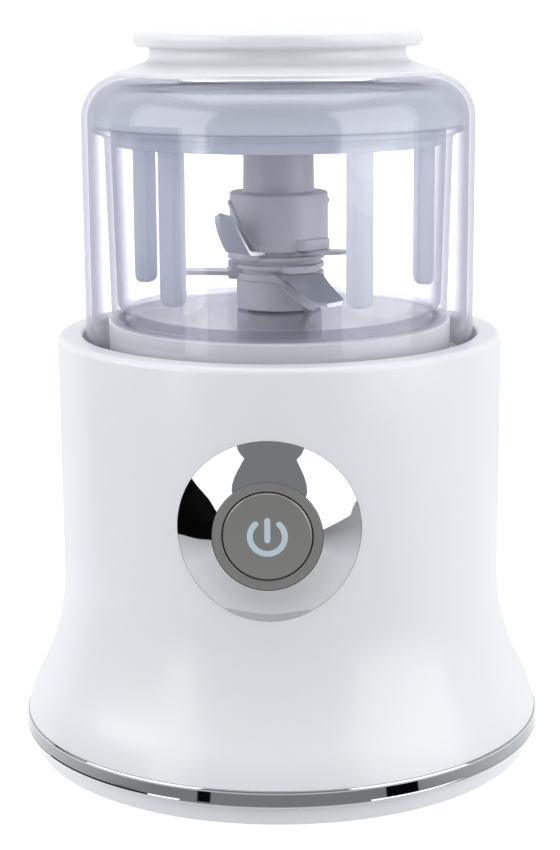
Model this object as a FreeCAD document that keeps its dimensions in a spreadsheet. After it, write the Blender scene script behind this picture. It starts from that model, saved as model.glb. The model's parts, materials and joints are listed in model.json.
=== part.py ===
import FreeCAD, Part
import math
import os
import re

import Sketcher

# A small one-button food processor. +Z is up, the floor is at z = 0 and the
# push button faces -Y. All sizes are in millimetres and all angles in degrees.

doc = FreeCAD.newDocument("food_processor")
sheet = doc.addObject("Spreadsheet::Sheet", "sizes")

DRIVING = {
    # Motor base
    "wall_radius": 67.05, "wall": 2.6, "rim_top": 131.8, "rim_plate": 2.4,
    "flare_top": 59.0, "flare_turn": 25.0, "flare_arc": 71.6, "toe_arc": 35.5,
    "trim_bottom": 10.0, "trim_top": 15.0, "trim_radius": 80.0, "trim_wall": 3.0,
    "trim_lean": 0.5, "spigot_wall": 2.5, "spigot_lift": 0.6, "seat_gap": 0.1,
    "rim_round": 2.0, "well_round": 1.2,
    "dome_clearance": 1.0, "well_wall": 2.2, "well_floor": 116.0, "deck_plate": 2.2,
    "drum_radius": 51.6, "drum_top": 135.8, "drum_wall": 2.4, "deck_drop": 3.2,
    "cup_radius": 13.0, "cup_floor": 119.7, "seat_plate": 2.4, "collar_rise": 8.4,
    # Bottom tray, feet and screws
    "tray_bottom": 1.5, "tray_plate": 2.5, "tray_radius": 68.0, "tray_wall": 2.4,
    "foot_radius": 8.0, "foot_circle": 60.0, "foot_peg": 2.9,
    "pillar_radius": 4.2, "pillar_circle": 60.8, "pillar_top": 75.0,
    "screw_radius": 1.5, "screw_head": 3.2, "head_height": 1.6,
    "slot_width": 3.0, "slot_inner": 18.0, "slot_length": 18.0,
    # Button
    "button_height": 86.0, "bezel_radius": 25.65, "bezel_bore": 15.4, "bezel_rise": 4.6,
    "bezel_depth": 58.0, "button_radius": 12.3, "button_gap": 0.3, "button_travel": 2.2,
    "button_proud": 0.2, "icon_arc": 4.8, "icon_stroke": 1.65, "icon_bar": 7.1,
    "icon_depth": 0.3, "stem_radius": 2.6, "bracket_front": 50.0, "bracket_plate": 2.4,
    "coil_radius": 4.2, "coil_wire": 0.5, "coil_turns": 5.0,
    "bracket_width": 58.0, "bracket_tall": 24.0, "arm_reach": 7.0, "switch_width": 16.0,
    "switch_thick": 9.6, "switch_tall": 12.0, "plunger_radius": 1.6, "plunger_play": 0.4,
    # Motor
    "shaft_radius": 3.0, "running_fit": 0.05, "stack_bottom": 52.0, "stack_height": 28.0,
    "stack_width": 58.0, "stack_depth": 46.0, "frame_bar": 6.0, "armature_radius": 14.6,
    "air_gap": 0.6, "pole_width": 18.0, "commutator_radius": 8.5, "commutator_bottom": 33.0,
    "commutator_height": 11.0, "bearing_radius": 8.0, "bearing_height": 5.6,
    "pole_lip": 4.0, "shoe_wall": 2.6, "coil_bulge": 5.0, "coil_gap": 0.3,
    "slot_deep": 5.0, "core_slot": 2.0, "end_turn": 6.0, "vane_wall": 1.2, "cap_wall": 1.4,
    "leg_wall": 3.5, "bar_width": 18.0, "cross_width": 14.0, "cross_reach": 27.0,
    "holder_width": 9.0, "holder_x": 19.0, "holder_length": 16.0, "holder_tall": 8.0,
    "brush_length": 11.0, "brush_width": 5.8, "brush_tall": 4.8, "brush_gap": 0.3,
    "lower_bearing_z": 20.5, "upper_bearing_z": 99.2, "fan_radius": 23.5, "fan_bottom": 88.8,
    "fan_height": 7.2, "bracket_bar": 3.0, "hanger_x": 34.0, "damper_radius": 5.0,
    # Coupling between the motor and the bowl
    "coupler_radius": 9.6, "coupler_bottom": 120.6, "coupler_disc": 3.4, "dog_height": 5.2,
    "dog_inner": 5.0, "dog_angle": 50.0, "dog_gap": 0.6,
    # Bowl
    "bowl_foot_radius": 50.7, "bowl_top_radius": 51.9, "bowl_wall": 2.0, "bowl_bottom": 136.2,
    "bowl_floor": 2.2, "bowl_rim": 193.2, "rim_flange": 1.7, "rim_radius": 55.15,
    "bush_radius": 9.3, "bush_bottom": 133.4, "spindle_top": 166.0, "drive_flat": 0.4,
    # Blade unit
    "hub_bottom": 138.9, "hub_lower": 12.85, "hub_step": 158.0, "hub_upper": 15.1,
    "hub_top": 173.6, "hub_stem": 10.6, "stem_top": 197.0, "blade_radius": 30.0,
    "blade_steel": 1.2, "upper_blade_z": 156.4, "lower_blade_z": 149.6, "blade_width": 13.0,
    # Inner lid with baffle ribs
    "lid_radius": 55.15, "lid_top": 204.3, "lid_plate": 2.4, "lid_gap": 0.3, "lid_wall": 2.0,
    "lid_round": 8.0, "lid_skirt_bottom": 187.9, "rib_width": 6.7, "rib_depth": 5.8,
    "rib_outer": 48.4, "rib_bottom": 144.0, "socket_gap": 0.5, "socket_wall": 1.8,
    # Outer dome and its grip
    "dome_radius": 58.5, "dome_wall": 1.9, "dome_bottom": 118.8, "dome_top": 208.5,
    "dome_round": 13.0, "grip_inset": 7.6, "grip_neck": 37.2, "grip_flange": 42.9,
    "grip_top": 221.0, "grip_edge": 4.8, "grip_wall": 2.6, "grip_boss": 8.6,
    "boss_rise": 1.0,
    # Interlock under the dome
    "twist_angle": 18.0, "lug_angle": 16.0, "lug_margin": 2.0, "hook_angle": 28.0,
    "hook_reach": 4.6, "lug_reach": 1.1, "tab_offset": 3.2, "hook_bottom": 122.4,
    "hook_height": 2.2, "lug_height": 2.6,
    "ring_play": 0.3, "ring_plate": 2.0, "key_angle": 8.0, "key_rise": 3.2, "key_gap": 1.0,
    # Cord outlet and control board
    "grommet_z": 24.0, "grommet_radius": 7.0, "grommet_bore": 3.4, "grommet_inner": 66.0,
    "grommet_outer": 79.0, "board_plate": 1.6, "board_width": 44.0, "board_depth": 22.0,
    "board_y": 33.0, "board_z": 9.0, "terminal_width": 16.0, "terminal_depth": 9.0,
    "terminal_tall": 10.0,
}

# Sizes that follow from others, so that what fits together stays together
FOLLOWING = {
    "well_radius": "dome_radius + dome_clearance",
    "grip_skirt": "dome_radius - grip_inset",
    "drive_square": "2 * shaft_radius - drive_flat",
}
for row, (alias, number) in enumerate((DRIVING | FOLLOWING).items(), 1):
    sheet.set(f"A{row}", alias)
    sheet.set(f"B{row}", f"={number}")
    sheet.setAlias(f"B{row}", alias)
    doc.recompute()

ALIASES = sorted(DRIVING | FOLLOWING, key=len, reverse=True)
NAMES = re.compile(r"\b(" + "|".join(ALIASES) + r")\b")


def bound(text):
    """An expression in plain size names, written with the sheet's own prefix."""
    return NAMES.sub(r"sizes.\1", str(text))


def value(text):
    """The number that an expression has now."""
    return float(sheet.evalExpression(bound(text)))


nodes = []


def node(obj, label):
    """Mark one object as a finished sub-part."""
    obj.Label = label
    nodes.append(obj)
    return obj


def bind(obj, **sizes):
    """Bind properties to expressions; x, y and z stand for the placement."""
    places = {"x": "Placement.Base.x", "y": "Placement.Base.y", "z": "Placement.Base.z"}
    for key, text in sizes.items():
        obj.setExpression(places.get(key, key), bound(text))
    return obj


def box(name, size_x, size_y, size_z, x="0", y="0", z="0"):
    """A box centred on x and y that stands on z."""
    made = doc.addObject("Part::Box", name)
    corner_x = f"({x}) - ({size_x}) / 2"
    corner_y = f"({y}) - ({size_y}) / 2"
    return bind(made, Length=size_x, Width=size_y, Height=size_z, x=corner_x, y=corner_y, z=z)


def spoke(name, inner, outer, width, height, z, angle):
    """A box that runs outwards from the axis at one angle."""
    made = doc.addObject("Part::Box", name)
    turn = FreeCAD.Rotation(FreeCAD.Vector(0, 0, 1), angle)
    made.Placement = FreeCAD.Placement(FreeCAD.Vector(0, 0, 0), turn)
    along_x = f"({inner}) * cos({angle}) + ({width}) / 2 * sin({angle})"
    along_y = f"({inner}) * sin({angle}) - ({width}) / 2 * cos({angle})"
    reach = f"({outer}) - ({inner})"
    return bind(made, Length=reach, Width=width, Height=height, x=along_x, y=along_y, z=z)


def cylinder(name, radius, height, x="0", y="0", z="0", along="Z"):
    """A cylinder from the point x, y, z along +Z, +Y or +X."""
    made = doc.addObject("Part::Cylinder", name)
    axis, angle = {"Z": ((0, 0, 1), 0), "Y": ((1, 0, 0), -90), "X": ((0, 1, 0), 90)}[along]
    turn = FreeCAD.Rotation(FreeCAD.Vector(*axis), angle)
    made.Placement = FreeCAD.Placement(FreeCAD.Vector(0, 0, 0), turn)
    return bind(made, Radius=radius, Height=height, x=x, y=y, z=z)


def fuse(name, *shapes):
    made = doc.addObject("Part::MultiFuse", name)
    made.Shapes = list(shapes)
    return made


def common(name, *shapes):
    made = doc.addObject("Part::MultiCommon", name)
    made.Shapes = list(shapes)
    return made


def cut(name, base, *tools):
    made = doc.addObject("Part::Cut", name)
    made.Base = base
    made.Tool = tools[0] if len(tools) == 1 else fuse(name + "_tool", *tools)
    return made


def group(name, *shapes):
    """Identical pieces that share one node but stay separate solids."""
    made = doc.addObject("Part::Compound", name)
    made.Links = list(shapes)
    return made


def sector(name, inner, outer, height, z, middle, width):
    """A stretch of ring: its middle angle and its width are in degrees."""
    parts = []
    for part, radius in (("outer", outer), ("inner", inner)):
        disc = doc.addObject("Part::Cylinder", f"{name}_{part}")
        start = f"({middle}) - ({width}) / 2"
        disc.setExpression("Placement.Rotation.Angle", bound(start))
        bind(disc, Radius=radius, Height=height, z=z)
        parts.append(disc)
    parts[0].setExpression("Angle", bound(width))
    return cut(name, *parts)


def attach(sketch, body, role):
    plane = next(item for item in body.Origin.OriginFeatures if item.Role == role)
    sketch.AttachmentSupport = [(plane, "")]
    sketch.MapMode = "FlatFace"


def outline(body, name, corners):
    """A closed half section: each corner is (radius, height) in expressions, and a third
    entry makes the side that follows it an arc of that radius, hollow side out when the
    expression starts with a minus."""
    sketch = body.newObject("Sketcher::SketchObject", name)
    attach(sketch, body, "XZ_Plane")
    points = [FreeCAD.Vector(value(c[0]), value(c[1]), 0) for c in corners]
    count = len(points)
    for index, corner in enumerate(corners):
        start, end = points[index], points[(index + 1) % count]
        if len(corner) == 2:
            sketch.addGeometry(Part.LineSegment(start, end), False)
            continue
        radius = value(corner[2])
        chord = end - start
        normal = FreeCAD.Vector(-chord.y, chord.x, 0).normalize()
        sagitta = math.sqrt(radius * radius - chord.Length ** 2 / 4)
        sign = 1 if radius > 0 else -1
        centre = (start + end) * 0.5 + normal * sagitta * sign
        first, last = (start, end) if sign > 0 else (end, start)
        circle = Part.Circle(centre, FreeCAD.Vector(0, 0, 1), abs(radius))
        angles = [math.atan2(p.y - centre.y, p.x - centre.x) for p in (first, last)]
        sketch.addGeometry(Part.ArcOfCircle(circle, *angles), False)
    # An arc always runs anticlockwise, so a hollow one starts at its far corner.
    hollow = [len(c) == 3 and value(c[2]) < 0 for c in corners]
    ends = [(2, 1) if is_hollow else (1, 2) for is_hollow in hollow]
    for index in range(count):
        following = (index + 1) % count
        join = Sketcher.Constraint("Coincident", index, ends[index][1], following, ends[following][0])
        sketch.addConstraint(join)
    for index, corner in enumerate(corners):
        for kind, text, number in (
            ("DistanceX", corner[0], points[index].x),
            ("DistanceY", corner[1], points[index].y),
        ):
            where = Sketcher.Constraint(kind, -1, 1, index, ends[index][0], number)
            place = sketch.addConstraint(where)
            sketch.setExpression(f"Constraints[{place}]", bound(text))
        if len(corner) == 3:
            size = corner[2].lstrip("-")
            bend = sketch.addConstraint(Sketcher.Constraint("Radius", index, value(size)))
            sketch.setExpression(f"Constraints[{bend}]", bound(size))
    return sketch


def turned(name, corners):
    """A body turned about +Z from a half section."""
    body = doc.addObject("PartDesign::Body", name)
    sketch = outline(body, name + "_section", corners)
    spin = body.newObject("PartDesign::Revolution", name + "_turn")
    spin.Profile = sketch
    spin.ReferenceAxis = (sketch, ["V_Axis"])
    spin.Angle = 360
    sketch.Visibility = False
    doc.recompute()
    return body


def tube(name, inner, outer, bottom, top):
    """A plain turned ring between two radii and two heights."""
    return turned(name, [(inner, bottom), (outer, bottom), (outer, top), (inner, top)])


def rounded(body, radius, *rings):
    """Round the circular edges of a turned body at the given radii and heights."""
    wanted = [(value(r), value(z)) for r, z in rings]
    edges = []
    for index, edge in enumerate(body.Shape.Edges, 1):
        if not isinstance(edge.Curve, Part.Circle):
            continue
        curve = edge.Curve
        for ring_radius, height in wanted:
            near = abs(curve.Radius - ring_radius) < 1e-4 and abs(curve.Center.z - height) < 1e-4
            if near and math.hypot(curve.Center.x, curve.Center.y) < 1e-6:
                edges.append(f"Edge{index}")
    base = body.Tip
    fillet = body.newObject("PartDesign::Fillet", f"{body.Name}_round_{len(body.Group)}")
    fillet.Base = (base, edges)
    fillet.setExpression("Radius", bound(radius))
    body.Tip = fillet
    doc.recompute()
    return body


# Motor base: outer shell --------------------------------------------------------

def polar(radius, angle):
    """The x and y expressions of a point on a circle round the axis."""
    return f"({radius}) * cos({angle})", f"({radius}) * sin({angle})"


PILLAR_ANGLES = (15, 165, 205, 335)
FOOT_ANGLES = {"front_left": 225, "front_right": 315, "rear_left": 135, "rear_right": 45}

flare_fall = "(flare_top - flare_turn)"
flare_run = f"sqrt(flare_arc^2 - {flare_fall}^2)"
turn_radius = f"(wall_radius + flare_arc - {flare_run})"
toe_x = f"({turn_radius} - toe_arc * {flare_run} / flare_arc)"
toe_z = f"(flare_turn - toe_arc * {flare_fall} / flare_arc)"
lip_radius = f"({toe_x} + sqrt(toe_arc^2 - (trim_top - {toe_z})^2))"
inner_turn_radius = f"({turn_radius} - wall * {flare_run} / flare_arc)"
inner_turn_z = f"(flare_turn - wall * {flare_fall} / flare_arc)"
spigot_outer = "(trim_radius - trim_wall - seat_gap)"
spigot_inner = f"({spigot_outer} - spigot_wall)"
spigot_top = f"({toe_z} + sqrt((toe_arc - wall)^2 - ({spigot_inner} - {toe_x})^2))"
spigot_bottom = "(trim_bottom + spigot_lift)"
inner_wall = "(wall_radius - wall)"
rim_under = "(rim_top - rim_plate)"
well_outer = "(well_radius + well_wall)"

shell = turned("shell", [
    (spigot_inner, spigot_bottom),
    (spigot_outer, spigot_bottom),
    (spigot_outer, "trim_top"),
    (lip_radius, "trim_top", "toe_arc"),
    (turn_radius, "flare_turn", "-flare_arc"),
    ("wall_radius", "flare_top"),
    ("wall_radius", "rim_top"),
    ("well_radius", "rim_top"),
    ("well_radius", "well_floor + seat_gap"),
    (well_outer, "well_floor + seat_gap"),
    (well_outer, rim_under),
    (inner_wall, rim_under),
    (inner_wall, "flare_top", "flare_arc + wall"),
    (inner_turn_radius, inner_turn_z, "-(toe_arc - wall)"),
    (spigot_inner, spigot_top),
])
rounded(shell, "rim_round", ("wall_radius", "rim_top"))
rounded(shell, "well_round", ("well_radius", "rim_top"))

tray_top = "(tray_bottom + tray_plate)"
pillar_foot = f"({tray_top} + seat_gap)"
pillars = []
pilots = []
for angle in PILLAR_ANGLES:
    x, y = polar("pillar_circle", angle)
    height = f"pillar_top - {pillar_foot}"
    pillars.append(cylinder(f"pillar_{angle}", "pillar_radius", height, x, y, pillar_foot))
    web_reach = f"{inner_wall} + wall / 2"
    web_bottom = "pillar_top - 30"
    pillars.append(spoke(f"web_{angle}", "pillar_circle", web_reach, "wall", "30", web_bottom, angle))
    pilots.append(cylinder(f"pilot_{angle}", "screw_radius", "16", x, y, f"{tray_top} - 1"))

bezel_hole = cylinder("bezel_hole", "bezel_radius + seat_gap", "wall_radius",
                      y="-wall_radius - bezel_depth", z="button_height", along="Y")
outlet = cylinder("outlet", "grommet_radius + seat_gap", "trim_radius",
                  y="grommet_inner", z="grommet_z", along="Y")
base_housing = cut("base_housing_solid", fuse("shell_with_pillars", shell, *pillars),
                   bezel_hole, outlet, *pilots)
node(base_housing, "base_housing")

# Chrome ring round the foot
node(turned("trim", [
    ("trim_radius - trim_wall", "trim_bottom"),
    ("trim_radius", "trim_bottom"),
    ("trim_radius - trim_lean", "trim_top - seat_gap / 2"),
    ("trim_radius - trim_wall", "trim_top - seat_gap / 2"),
]), "chrome_trim_ring")

# Well floor and the drum that carries the bowl, in one moulding
deck_top = "(drum_top - deck_drop)"
collar_inner = f"({well_outer} + seat_gap)"
collar_outer = f"({inner_wall} - seat_gap * 3)"
seat_under = "(well_floor - seat_plate)"
cup_outer = "(cup_radius + deck_plate)"
cup_under = "(cup_floor - deck_plate)"
seal_seat = "(shaft_radius + 3.5)"
drum_inner = "(drum_radius - drum_wall)"
seat = turned("seat", [
    (seal_seat, cup_under),
    (cup_outer, cup_under),
    (cup_outer, f"{deck_top} - deck_plate"),
    (drum_inner, f"{deck_top} - deck_plate"),
    (drum_inner, seat_under),
    (collar_outer, seat_under),
    (collar_outer, f"{seat_under} + collar_rise"),
    (collar_inner, f"{seat_under} + collar_rise"),
    (collar_inner, "well_floor"),
    ("drum_radius", "well_floor"),
    ("drum_radius", "drum_top"),
    (drum_inner, "drum_top"),
    (drum_inner, deck_top),
    ("cup_radius", deck_top),
    ("cup_radius", "cup_floor"),
    (seal_seat, "cup_floor"),
])
rounded(seat, "well_round / 2", ("drum_radius", "drum_top"))
LUG_ANGLES = (30, 150, 270)
lug_turn = "(lug_angle / 2 + lug_margin + hook_angle / 2)"
hooks = [sector(f"hook_{angle}", "drum_radius - 0.5", "drum_radius + hook_reach", "hook_height",
                "hook_bottom", f"{angle} - {lug_turn}", "hook_angle") for angle in LUG_ANGLES]
hangers = []
hanger_bores = []
for side in (-1, 1):
    x = f"{side} * hanger_x"
    boss_bottom = "(upper_bearing_z + bracket_bar + 3.5)"
    hangers.append(cylinder(f"hanger_{side}", "damper_radius", f"{deck_top} - {boss_bottom} - 0.5",
                            x, "0", boss_bottom))
    hanger_bores.append(cylinder(f"hanger_bore_{side}", "screw_radius", "14", x, "0",
                                 f"{boss_bottom} - 1"))
TAB_ANGLE = 99
slot_width = "(key_angle + twist_angle + 2 * lug_margin)"
tab_slot = sector("tab_slot", "drum_radius + tab_offset - 0.6", "well_radius - 1", "seat_plate * 3",
                  f"{seat_under} - 1", f"{TAB_ANGLE} - twist_angle / 2", slot_width)
bowl_seat = cut("bowl_seat_solid", fuse("seat_with_hooks", seat, *hooks, *hangers),
                tab_slot, *hanger_bores)
node(bowl_seat, "bowl_seat")

# Bottom tray with air slots
flange_outer = f"({spigot_inner} - seat_gap * 2)"
tray_wall_inner = "(tray_radius - tray_wall)"
tray_flange_top = f"({spigot_bottom} + tray_plate)"
tray = turned("tray", [
    ("0", "tray_bottom"),
    ("tray_radius", "tray_bottom"),
    ("tray_radius", spigot_bottom),
    (flange_outer, spigot_bottom),
    (flange_outer, tray_flange_top),
    (tray_wall_inner, tray_flange_top),
    (tray_wall_inner, tray_top),
    ("0", tray_top),
])
openings = []
for angle in range(0, 360, 30):
    openings.append(spoke(f"air_{angle}", "slot_inner", "slot_inner + slot_length", "slot_width",
                          "tray_plate * 2", "tray_bottom - 1", angle))
for angle in PILLAR_ANGLES:
    x, y = polar("pillar_circle", angle)
    openings.append(cylinder(f"screw_way_{angle}", "screw_radius + seat_gap", "tray_plate * 2",
                             x, y, "tray_bottom - 1"))
    openings.append(cylinder(f"screw_sink_{angle}", "screw_head + seat_gap", "head_height",
                             x, y, "tray_bottom - 0.1"))
for angle in FOOT_ANGLES.values():
    x, y = polar("foot_circle", angle)
    openings.append(cylinder(f"peg_way_{angle}", "foot_peg", "tray_plate * 2", x, y,
                             "tray_bottom - 1"))
board_posts = []
for side in (-1, 1):
    board_posts.append(cylinder(f"board_post_{side}", "2.5", f"board_z - {tray_top}",
                                f"{side} * (board_width / 2 - 4)", "board_y + board_depth / 2",
                                tray_top))
node(fuse("base_plate_solid", cut("tray_pierced", tray, *openings), *board_posts), "base_plate")

for place, angle in FOOT_ANGLES.items():
    x, y = polar("foot_circle", angle)
    pad = cylinder(f"pad_{place}", "foot_radius", "tray_bottom", x, y, "0")
    peg = cylinder(f"peg_{place}", "foot_peg", "tray_plate + 1", x, y, "tray_bottom")
    node(fuse(f"foot_{place}_solid", pad, peg), f"foot_{place}")

screws = []
for angle in PILLAR_ANGLES:
    x, y = polar("pillar_circle", angle)
    head = cylinder(f"base_screw_head_{angle}", "screw_head", "head_height - 0.3", x, y,
                    "tray_bottom + 0.1")
    shank = cylinder(f"base_screw_shank_{angle}", "screw_radius", "14", x, y,
                     "tray_bottom + head_height - 0.2")
    screws.append(fuse(f"base_screw_{angle}", head, shank))
node(group("base_screws_group", *screws), "base_screws")

# Push button on the front: every turned piece points along -Y ---------------------

def facing_front(body):
    """Turn a body so that its own +Z points out of the front at the button's height."""
    turn = FreeCAD.Rotation(FreeCAD.Vector(1, 0, 0), 90)
    body.Placement = FreeCAD.Placement(FreeCAD.Vector(0, 0, 0), turn)
    body.setExpression("Placement.Base.z", bound("button_height"))
    return body


def make_bezel():
    """The chrome cone: its outer edge lies on the housing wall, so its face is ruled between
    that saddle-shaped edge and the flat ring round the button."""
    outer, bore = value("bezel_radius"), value("bezel_bore")
    wall, rise = value("wall_radius"), value("bezel_rise")
    back, height = -value("bezel_depth"), value("button_height")
    steps = 72
    saddle = []
    for step in range(steps):
        angle = 2 * math.pi * step / steps
        x, z = outer * math.cos(angle), outer * math.sin(angle)
        saddle.append(FreeCAD.Vector(x, -math.sqrt(wall * wall - x * x), z + height))
    curve = Part.BSplineCurve()
    curve.interpolate(Points=saddle, PeriodicFlag=True)
    rim = curve.toShape()
    facing = FreeCAD.Vector(0, -1, 0)
    edges = {}
    for key, radius, y in (("lip", bore, -wall - rise), ("bore", bore, back), ("tail", outer, back)):
        circle = Part.Circle(FreeCAD.Vector(0, y, height), facing, radius)
        circle.XAxis = FreeCAD.Vector(1, 0, 0)
        edges[key] = circle.toShape()
    faces = [
        Part.makeRuledSurface(rim, edges["lip"]),
        Part.makeRuledSurface(edges["lip"], edges["bore"]),
        Part.makeRuledSurface(rim, edges["tail"]),
        Part.Face([Part.Wire(edges["tail"]), Part.Wire(edges["bore"])]),
    ]
    shell_shape = Part.Shell([face for item in faces for face in item.Faces])
    shell_shape.sewShape()
    solid = Part.Solid(shell_shape)
    solid.fix(1e-6, 1e-6, 1e-4)
    if solid.Volume < 0:
        solid.reverse()
    return solid


bezel = doc.addObject("Part::Feature", "bezel")
bezel.Shape = make_bezel()
bezel.Placement = FreeCAD.Placement()
node(bezel, "button_bezel")

face_out = "(wall_radius + bezel_rise)"
guide_bore = "(button_radius + button_gap)"
node(facing_front(tube("guide", guide_bore, "bezel_bore - seat_gap / 2", "bezel_depth + 1",
                       face_out)), "button_ring")

cap_back = f"({face_out} - 3.2)"
spring_top = "(bezel_depth + 4.5)"
stem_end = "(bracket_front + 3.2)"
button = turned("button", [
    ("0", stem_end),
    ("stem_radius", stem_end),
    ("stem_radius", spring_top),
    ("coil_radius + coil_wire + 0.6", spring_top),
    ("coil_radius + coil_wire + 0.6", cap_back),
    ("button_radius - 1.6", cap_back),
    ("button_radius - 1.6", "bezel_depth + 2.5"),
    ("button_radius", "bezel_depth + 2.5"),
    ("button_radius", f"{face_out} - button_proud"),
    ("button_radius - 0.5", f"{face_out} + button_proud"),
    ("0", f"{face_out} + button_proud"),
])
facing_front(button)
button_front = f"({face_out} + button_proud)"
icon_low = f"({button_front} - icon_depth)"
icon_bow = sector("icon_bow", "icon_arc - icon_stroke / 2", "icon_arc + icon_stroke / 2",
                  "icon_depth", icon_low, "270", "270")
icon_stem = box("icon_stem", "icon_stroke", "icon_bar", "icon_depth",
                "0", "icon_bar / 4", icon_low)
icon = facing_front(fuse("icon_solid", icon_bow, icon_stem))
node(icon, "button_icon")
node(cut("push_button_solid", button, icon), "push_button")

# The coil is drawn at its pressed length, so it clears the bracket by the button's travel.
coil_height = value(f"{spring_top} - {stem_end} - 1.2")
helix = Part.makeHelix(coil_height / value("coil_turns"), coil_height, value("coil_radius"))
wire_circle = Part.Circle(FreeCAD.Vector(value("coil_radius"), 0, 0), FreeCAD.Vector(0, 1, 0),
                          value("coil_wire"))
coil = doc.addObject("Part::Feature", "coil")
coil.Shape = Part.Wire(helix.Edges).makePipeShell([Part.Wire(wire_circle.toShape())], True, True)
coil.Placement = FreeCAD.Placement(
    FreeCAD.Vector(0, -value(f"{stem_end} + 0.6"), value("button_height")),
    FreeCAD.Rotation(FreeCAD.Vector(1, 0, 0), 90))
node(coil, "button_spring")

bracket_z = "(button_height - bracket_tall / 2)"
bracket_back = "(bracket_front - bracket_plate)"
plate_y = "-(bracket_front - bracket_plate / 2)"
plate = box("switch_plate", "bracket_width", "bracket_plate", "bracket_tall", "0", plate_y,
            bracket_z)
arms = [box(f"switch_arm_{side}", "bracket_plate", "arm_reach", "bracket_tall",
            f"{side} * (bracket_width - bracket_plate) / 2", "-bracket_front - arm_reach / 2",
            bracket_z) for side in (-1, 1)]
plunger_way = cylinder("plunger_way", "stem_radius - 0.2", "bracket_plate * 3", "0",
                       "-bracket_front - bracket_plate", "button_height", along="Y")
node(cut("switch_bracket_solid", fuse("switch_plate_with_arms", plate, *arms), plunger_way),
     "switch_bracket")
switch_body = box("switch_body", "switch_width", "switch_thick", "switch_tall", "0",
                  f"-({bracket_back} - switch_thick / 2)", "button_height - switch_tall / 2")
plunger_well = cylinder("plunger_well", "plunger_radius + plunger_play", "6", "0", f"-{bracket_back} - 1",
                        "button_height", along="Y")
node(cut("button_switch_solid", switch_body, plunger_well), "button_switch")
plunger_length = f"({stem_end} - {bracket_back} + 2.2)"
node(cylinder("plunger", "plunger_radius", plunger_length, "0", f"-{stem_end}", "button_height", along="Y"),
     "switch_plunger")

# Motor ---------------------------------------------------------------------------------
stack_top = "(stack_bottom + stack_height)"
bore_radius = "(armature_radius + air_gap)"
frame = box("stack_frame", "stack_width", "stack_depth", "stack_height", z="stack_bottom")
window = box("stack_window", "stack_width - 2 * frame_bar", "stack_depth - 2 * frame_bar",
             "stack_height", z="stack_bottom")
necks = box("pole_necks", "stack_width - frame_bar", "pole_width", "stack_height",
            z="stack_bottom")
shoe_ring = cylinder("shoe_ring", f"{bore_radius} + shoe_wall", "stack_height", z="stack_bottom")
shoe_limit = box("shoe_limit", "stack_width", "pole_width + 2 * pole_lip", "stack_height",
                 z="stack_bottom")
stator_bore = cylinder("stator_bore", bore_radius, "stack_height", z="stack_bottom")
stator = cut("stator_solid",
             fuse("stator_with_poles", cut("stack_ring", frame, window), necks,
                  common("pole_shoes", shoe_ring, shoe_limit)), stator_bore)
node(stator, "motor_stator")

coil_inner_x = f"({bore_radius} + shoe_wall + coil_gap)"
coil_outer_x = "(stack_width / 2 - frame_bar - coil_gap)"
coil_middle = f"({coil_inner_x} + {coil_outer_x}) / 2"
coils = []
for side in (-1, 1):
    x = f"{side} * {coil_middle}"
    thick = f"{coil_outer_x} - {coil_inner_x}"
    loop = box(f"coil_loop_{side}", thick, "pole_width + 2 * coil_bulge",
               "stack_height + 2 * coil_bulge", x, "0", "stack_bottom - coil_bulge")
    hole = box(f"coil_hole_{side}", f"{thick} + 2", "pole_width + 0.4", "stack_height + 0.4", x,
               "0", "stack_bottom - 0.2")
    coils.append(cut(f"field_coil_{side}", loop, hole))
node(group("field_coils_group", *coils), "field_coils")

shaft_top = "(coupler_bottom + coupler_disc - 0.4)"
node(cylinder("shaft", "shaft_radius", f"{shaft_top} - lower_bearing_z", z="lower_bearing_z"),
     "motor_shaft")
core = tube("core", "shaft_radius", "armature_radius", "stack_bottom", stack_top)
slots = [spoke(f"core_slot_{step}", "armature_radius - slot_deep", "armature_radius + 1",
               "core_slot", "stack_height", "stack_bottom", 30 * step) for step in range(12)]
node(cut("armature_core_solid", core, *slots), "armature_core")
end_turns = []
for key, low, high in (("lower", "stack_bottom - end_turn", "stack_bottom"),
                       ("upper", stack_top, f"{stack_top} + end_turn")):
    end_turns.append(tube(f"end_turns_{key}", "shaft_radius", "armature_radius - 2", low, high))
node(group("armature_windings_group", *end_turns), "armature_windings")
commutator_top = "(commutator_bottom + commutator_height)"
node(tube("commutator_turned", "shaft_radius", "commutator_radius", "commutator_bottom",
          commutator_top), "commutator")

fan_top = "(fan_bottom + fan_height)"
fan_web = turned("fan_web", [
    ("shaft_radius", "fan_bottom"),
    ("shaft_radius * 2", "fan_bottom"),
    ("shaft_radius * 2", f"{fan_top} - vane_wall"),
    ("fan_radius", f"{fan_top} - vane_wall"),
    ("fan_radius", fan_top),
    ("shaft_radius", fan_top),
])
vanes = [spoke(f"vane_{step}", "shaft_radius * 2 + 2", "fan_radius - 0.5", "vane_wall",
               "fan_height - 1", "fan_bottom", 40 * step) for step in range(9)]
node(fuse("cooling_fan_solid", fan_web, *vanes), "cooling_fan")

for key, low in (("lower", "lower_bearing_z"), ("upper", "upper_bearing_z")):
    node(tube(f"{key}_bearing_turned", "shaft_radius + running_fit", "bearing_radius", low,
              f"{low} + bearing_height"), f"{key}_bearing")

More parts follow.
